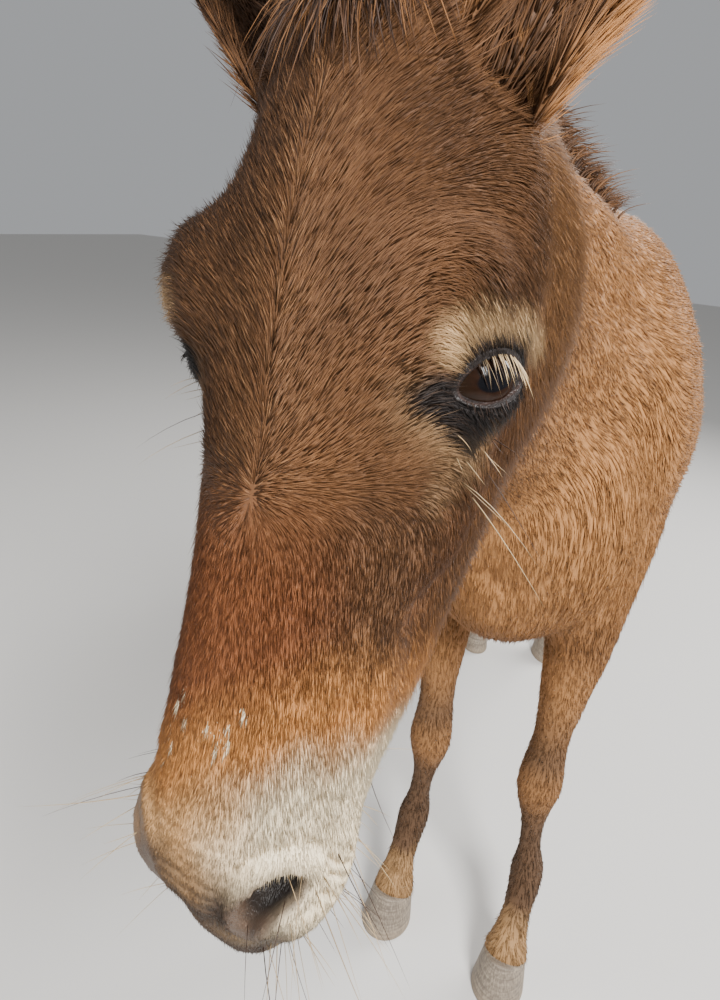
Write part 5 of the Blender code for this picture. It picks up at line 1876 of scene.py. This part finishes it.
class MuleColours(bpy.types.PropertyGroup):
    """Colours of the coat, the bare skin, the long hair, the eyes and the horn"""

    chestnut: colour_setting("Chestnut", "Forehead, cheeks and ears", (0.12, 0.053, 0.0205))
    nose: colour_setting("Nose", "The redder band down the nose", (0.212, 0.072, 0.024))
    jaw: colour_setting("Jaw", "Cheeks and side of the jaw", (0.135, 0.054, 0.018))
    throat: colour_setting("Throat", "Pale hair of the throat and under the jaw", (0.17, 0.074, 0.025))
    tan: colour_setting("Tan band", "The band above the mealy muzzle", (0.53, 0.225, 0.062))
    # On the muzzle's right side this darker colour is partly painted shade, set next to the pale left side
    mealy: colour_setting("Mealy muzzle", "The muzzle on the right side", (0.6, 0.34, 0.14))
    mealy_pale: colour_setting("Pale muzzle", "The muzzle on the left side, and flecks", (0.82, 0.69, 0.47))
    between: colour_setting("Between nostrils", "Greyish hair between the nostrils", (0.06, 0.037, 0.023))
    # A tenth of this colour is painted shade deep inside the nostrils and mouth
    nostril: colour_setting("Nostril skin", "Bare skin of the nostrils and lips", (0.1, 0.062, 0.04))
    eye_ring: colour_setting("Eye ring", "Cream hair above and below the eyes", (0.62, 0.4, 0.2))
    lid: colour_setting("Lids", "Bare charcoal skin of the lids", (0.015, 0.011, 0.01))
    # Dark hair also serves as painted shade in the hollows above the eyes and deep in the base of the ears
    dark: colour_setting("Dark hair", "Dark strands, lashes and edges of the ears", (0.045, 0.022, 0.013))
    body: colour_setting("Body", "Shoulders, sides and croup", (0.37, 0.168, 0.055))
    # The belly's dark colour is painted shade under the trunk
    belly: colour_setting("Belly", "Belly and pasterns", (0.15, 0.062, 0.02))
    leg: colour_setting("Legs", "Cannons and knees", (0.09, 0.046, 0.021))
    mane: colour_setting("Mane", "Mane, forelock and tail", (0.05, 0.026, 0.016))
    lash_pale: colour_setting("Pale lashes", "Blond lashes and feelers", (0.52, 0.37, 0.2))
    iris: colour_setting("Iris", "The ring of the eye", (0.013, 0.0055, 0.0028))
    horn: colour_setting("Horn", "Hoof horn", (0.13, 0.1, 0.075))
    horn_pale: colour_setting("Pale horn", "Growth rings and worn edges of the hooves", (0.32, 0.26, 0.19))
    # The palest strands of the face stand partly for a painted sheen
    silver: colour_setting("Silver strands", "The palest strands of the face", (0.36, 0.19, 0.085))


class MuleSizes(bpy.types.PropertyGroup):
    """Sizes of the skin's mesh and of the coat"""

    head_mesh: length_setting("Head mesh", "Edge length of the head's skin", 0.0038)
    body_mesh: length_setting("Body mesh", "Edge length of the body's skin", 0.0145)
    face_hairs: count_setting("Face hairs", "Tufts per square metre of the face", 680000)
    body_hairs: count_setting("Body hairs", "Tufts per square metre of the body", 117000)
    ear_hairs: count_setting("Ear hairs", "Tufts per square metre of the ears", 190000)
    mane_hairs: count_setting("Mane hairs", "Locks in the mane", 2600)
    mane_length: length_setting("Mane length", "Longest hair of the mane", 0.042)
    forelock_hairs: count_setting("Forelock hairs", "Locks in the forelock", 700)
    forelock_length: length_setting("Forelock length", "Longest hair of the forelock", 0.05)
    tail_hairs: count_setting("Tail hairs", "Locks in the tail", 1500)
    tail_length: length_setting("Tail length", "Longest hair of the tail", 0.44)


class MuleStage(bpy.types.PropertyGroup):
    """The camera, the lights and the floor"""

    camera_place: FloatVectorProperty(name="Camera place", description="Where the camera stands", size=3,
                                      subtype="TRANSLATION", unit="LENGTH", default=(0.255, -1.2155, 1.27))
    camera_turn: turn_setting("Camera turn", "How far the camera looks to the left of +Y", 25)
    camera_pitch: turn_setting("Camera pitch", "How far the camera looks down", 23)
    camera_roll: turn_setting("Camera roll", "How far the camera leans", 5)
    lens: FloatProperty(name="Lens", description="Focal length in millimetres", default=25.2, min=1)
    key_light: power_setting("Key light", "Power of the main light", 300)
    fill_light: power_setting("Fill light", "Power of the light that fills the shade", 34)
    floor: colour_setting("Floor", "The plain floor", (0.62, 0.6, 0.57))
    sky: colour_setting("Sky", "The light from all round", (0.9, 0.92, 0.95))


# Operators

class Step(bpy.types.Operator):
    """One step in making the mule"""

    bl_options = {"REGISTER", "UNDO"}

    @property
    def tints(self):
        colours, names = bpy.context.scene.mule_colours, MuleColours.__annotations__
        return SimpleNamespace(**{name: np.array(getattr(colours, name)) for name in names})

    @property
    def sizes(self):
        return bpy.context.scene.mule_sizes


class MULE_OT_skin(Step):
    """Makes the skin of the head, neck, trunk, legs, lids and ears, with its markings"""

    bl_idname = "mule.skin"
    bl_label = "Skin"

    def execute(self, context):
        tints = self.tints
        head = dress(head_shell(self.sizes.head_mesh), tints, True)
        under_lids(head, True)
        body = dress(body_shell(self.sizes.body_mesh), tints)
        parts = [marked(head, "head"), marked(body, "body")]
        for name, side in SIDES.items():
            parts.append(dressed_lids(name, side, tints))
            parts.append(dressed_ear(name, side, tints))
        skin = joined("skin", parts)
        skin.data.materials.clear()
        skin.data.materials.append(skin_finish())
        skin.data.shade_smooth()
        legs = [f"{kind}_leg_{name}" for kind in ("front", "hind") for name in SIDES]
        finished(skin, "coat", "head", "neck", "torso", "ear_left", "ear_right", *legs)
        return {"FINISHED"}


FACE_LAYERS = [
    # the name of each layer, then the width, length, lift and unrest of its tufts
    ("face_coat_under", 1.25, 0.9, 0.06, 0.07),
    ("face_coat_middle", 1.05, 1.05, 0.085, 0.09),
    ("face_coat_upper", 0.95, 1.1, 0.105, 0.1),
    ("face_coat_strands", 0.8, 1.25, 0.13, 0.13),
]


class MULE_OT_face_coat(Step):
    """Grows the short coat of the head in layers, from soft under hair to single long strands"""

    bl_idname = "mule.face_coat"
    bl_label = "Face coat"

    def execute(self, context):
        skin = bpy.data.objects["skin"]
        finish = hair_finish("face_hair", 0.5, self.tints.silver)
        for seed, (name, width, length, lift, unrest) in enumerate(FACE_LAYERS):
            density = self.sizes.face_hairs / 4 * 1
            grown(name, skin, finish, "coat", Density=density, Region=0.0, Seed=seed + 3, Clumps=0.16,
                  Clump_size=0.011, Flatness=0.4, Width=width, Length=length, Lift=lift, Unrest=unrest)
        grown("lid_coat", skin, finish, "coat", Density=self.sizes.face_hairs * 0.9, Region=2.0, Seed=9,
              Width=0.75, Length=0.8, Lift=0.12, Unrest=0.12, Clumps=0.1)
        grown_long("white_flecks", fleck_roots(self.tints), finish, "coat", Unrest=0.1, Seed=13)
        return {"FINISHED"}


class MULE_OT_body_coat(Step):
    """Grows the coat of the neck, trunk and legs, and of the ears"""

    bl_idname = "mule.body_coat"
    bl_label = "Body coat"

    def execute(self, context):
        skin = bpy.data.objects["skin"]
        finish = hair_finish("body_hair", 0.55, self.tints.throat)
        for seed, name in enumerate(("body_coat_under", "body_coat_upper", "body_coat_strands")):
            grown(name, skin, finish, "coat", Density=self.sizes.body_hairs / 3, Region=1.0, Seed=seed + 21,
                  Lift=0.08 + 0.025 * seed, Unrest=0.1, Clumps=0.2, Clump_size=0.03,
                  Length=0.9 + 0.1 * seed, Width=1.15 - 0.15 * seed)
        for number, name in enumerate(SIDES):
            grown("ear_coat_" + name, skin, finish, "coat", Density=self.sizes.ear_hairs, Region=3.0 + number,
                  Seed=31 + number, Lift=0.16, Unrest=0.16, Clumps=0.2, Clump_size=0.01)
        return {"FINISHED"}


class MULE_OT_long_hair(Step):
    """Grows the mane, the forelock and the tail"""

    bl_idname = "mule.long_hair"
    bl_label = "Mane and tail"

    def execute(self, context):
        finish = hair_finish("long_hair", 0.42, self.tints.chestnut)
        for name, source, segments, belly in (
            ("mane_locks", mane_roots, 6, 1.4),
            ("forelock_locks", forelock_roots, 6, 1.2),
            ("tail_locks", tail_roots, 7, 1.8),
        ):
            hair = grown_long(name, source(self.sizes, self.tints), finish, "mane_hair", Unrest=0.1,
                              Clumps=0.2, Clump_size=0.02, Seed=71, Segments=segments, Belly=belly)
            if name == "tail_locks":
                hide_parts("tail")
        return {"FINISHED"}


class MULE_OT_eyes(Step):
    """Makes the eyes, their lashes and the feelers of the muzzle"""

    bl_idname = "mule.eyes"
    bl_label = "Eyes and feelers"

    def execute(self, context):
        finish = eye_finish(self.tints)
        hair = hair_finish("feeler_hair", 0.4, self.tints.lash_pale)
        stiff = {"Segments": 5, "Belly": 1.0, "Flatness": 0.9}
        for name, side in SIDES.items():
            ball = eye_ball(name, side)
            ball.data.materials.append(finish)
            finished(ball, "eye", "eye_" + name)
            grown_long("lashes_" + name, lash_roots(side, self.tints, name == "left"), hair, "mane_hair",
                       Unrest=0.04, Clumps=0.04, Seed=81, **stiff)
        grown_long("feelers", feeler_roots(self.tints), hair, "mane_hair", Unrest=0.03, Clumps=0.0, Seed=83,
                   **stiff)
        return {"FINISHED"}


class MULE_OT_hooves(Step):
    """Makes the four hooves"""

    bl_idname = "mule.hooves"
    bl_label = "Hooves"

    def execute(self, context):
        finish = horn_finish(self.tints)
        for name, side in SIDES.items():
            for kind, steps in (("front", FRONT_STEP), ("hind", HIND_STEP)):
                hoof = fine_hoof(kind, name, side, steps[name])
                hoof.data.materials.append(finish)
                finished(hoof, "hoof_horn", f"{kind}_hoof_{name}")
        return {"FINISHED"}


FLOOR_HALF = 14.0
LIGHTS = {  # where each light hangs, and its width
    "key": ((1.9, -2.2, 3.0), 1.1), "fill": ((-2.4, -2.0, 2.2), 2.6), "rim": ((1.2, 2.6, 2.8), 1.8),
}
FILL_SHARES = {"fill": 1.0, "rim": 5.0}
LIT_POINT = (0.05, -0.6, 1.0)
SKY_STRENGTH = 0.42


class MULE_OT_stage(Step):
    """Sets the camera, the lights and the plain floor"""

    bl_idname = "mule.stage"
    bl_label = "Stage"

    def execute(self, context):
        stage = context.scene.mule_stage
        camera = new_object("camera", bpy.data.cameras.new("camera"))
        camera.data.lens = stage.lens
        camera.data.sensor_width = 36.0
        camera.data.clip_start, camera.data.clip_end = 0.02, 60.0
        turned = Matrix.Rotation(stage.camera_turn, 4, "Z")
        tipped = Matrix.Rotation(math.pi / 2 - stage.camera_pitch, 4, "X")
        leaned = Matrix.Rotation(stage.camera_roll, 4, "Z")
        place = Matrix.Translation(Vector(stage.camera_place))
        camera.matrix_world = place @ turned @ tipped @ leaned
        context.scene.camera = camera
        mesh = bpy.data.meshes.new("floor")
        corners = ((-1, -1), (1, -1), (1, 1), (-1, 1))
        mesh.from_pydata([(x * FLOOR_HALF, y * FLOOR_HALF, 0) for x, y in corners], [], [(0, 1, 2, 3)])
        looks = {"Base Color": opaque(stage.floor), "Roughness": 0.9}
        mesh.materials.append(finish(*new_tree("plain_floor"), looks))
        new_object("floor", mesh)
        for name, (place, size) in LIGHTS.items():
            light = new_object(name, bpy.data.lights.new(name, "AREA"))
            light.data.energy = stage.key_light if name == "key" else stage.fill_light * FILL_SHARES[name]
            light.data.size = size
            light.location = place
            aim = Vector(LIT_POINT) - Vector(place)
            light.rotation_euler = aim.to_track_quat("-Z", "Y").to_euler()
        world = bpy.data.worlds.new("soft_light")
        world.use_nodes = True
        sky = world.node_tree.nodes["Background"].inputs
        sky["Color"].default_value = opaque(stage.sky)
        sky["Strength"].default_value = SKY_STRENGTH
        context.scene.world = world
        return {"FINISHED"}


SETTINGS = {"mule_colours": MuleColours, "mule_sizes": MuleSizes, "mule_stage": MuleStage}
STEPS = (MULE_OT_skin, MULE_OT_face_coat, MULE_OT_body_coat, MULE_OT_long_hair, MULE_OT_eyes, MULE_OT_hooves,
         MULE_OT_stage)


class MULE_PT_panel(bpy.types.Panel):
    """Lists the steps and the settings of the mule"""

    bl_idname = "MULE_PT_panel"
    bl_label = "Standing mule"
    bl_space_type = "VIEW_3D"
    bl_region_type = "UI"
    bl_category = "Mule"

    def draw(self, context):
        for step in STEPS:
            self.layout.operator(step.bl_idname)
        for name, group in SETTINGS.items():
            box = self.layout.box()
            for key in group.__annotations__:
                box.prop(getattr(context.scene, name), key)


CLASSES = (*SETTINGS.values(), *STEPS, MULE_PT_panel)


def register():
    """Makes the steps and settings known."""
    for part in CLASSES:
        bpy.utils.register_class(part)
    for name, group in SETTINGS.items():
        setattr(bpy.types.Scene, name, PointerProperty(type=group))


def unregister():
    """Takes the steps and settings away again."""
    for name in SETTINGS:
        delattr(bpy.types.Scene, name)
    for part in reversed(CLASSES):
        bpy.utils.unregister_class(part)


def main():
    """Makes the mule and its stage."""
    register()
    for step in STEPS:
        getattr(bpy.ops.mule, step.bl_idname.split(".")[1])()


if __name__ == "__main__":
    main()
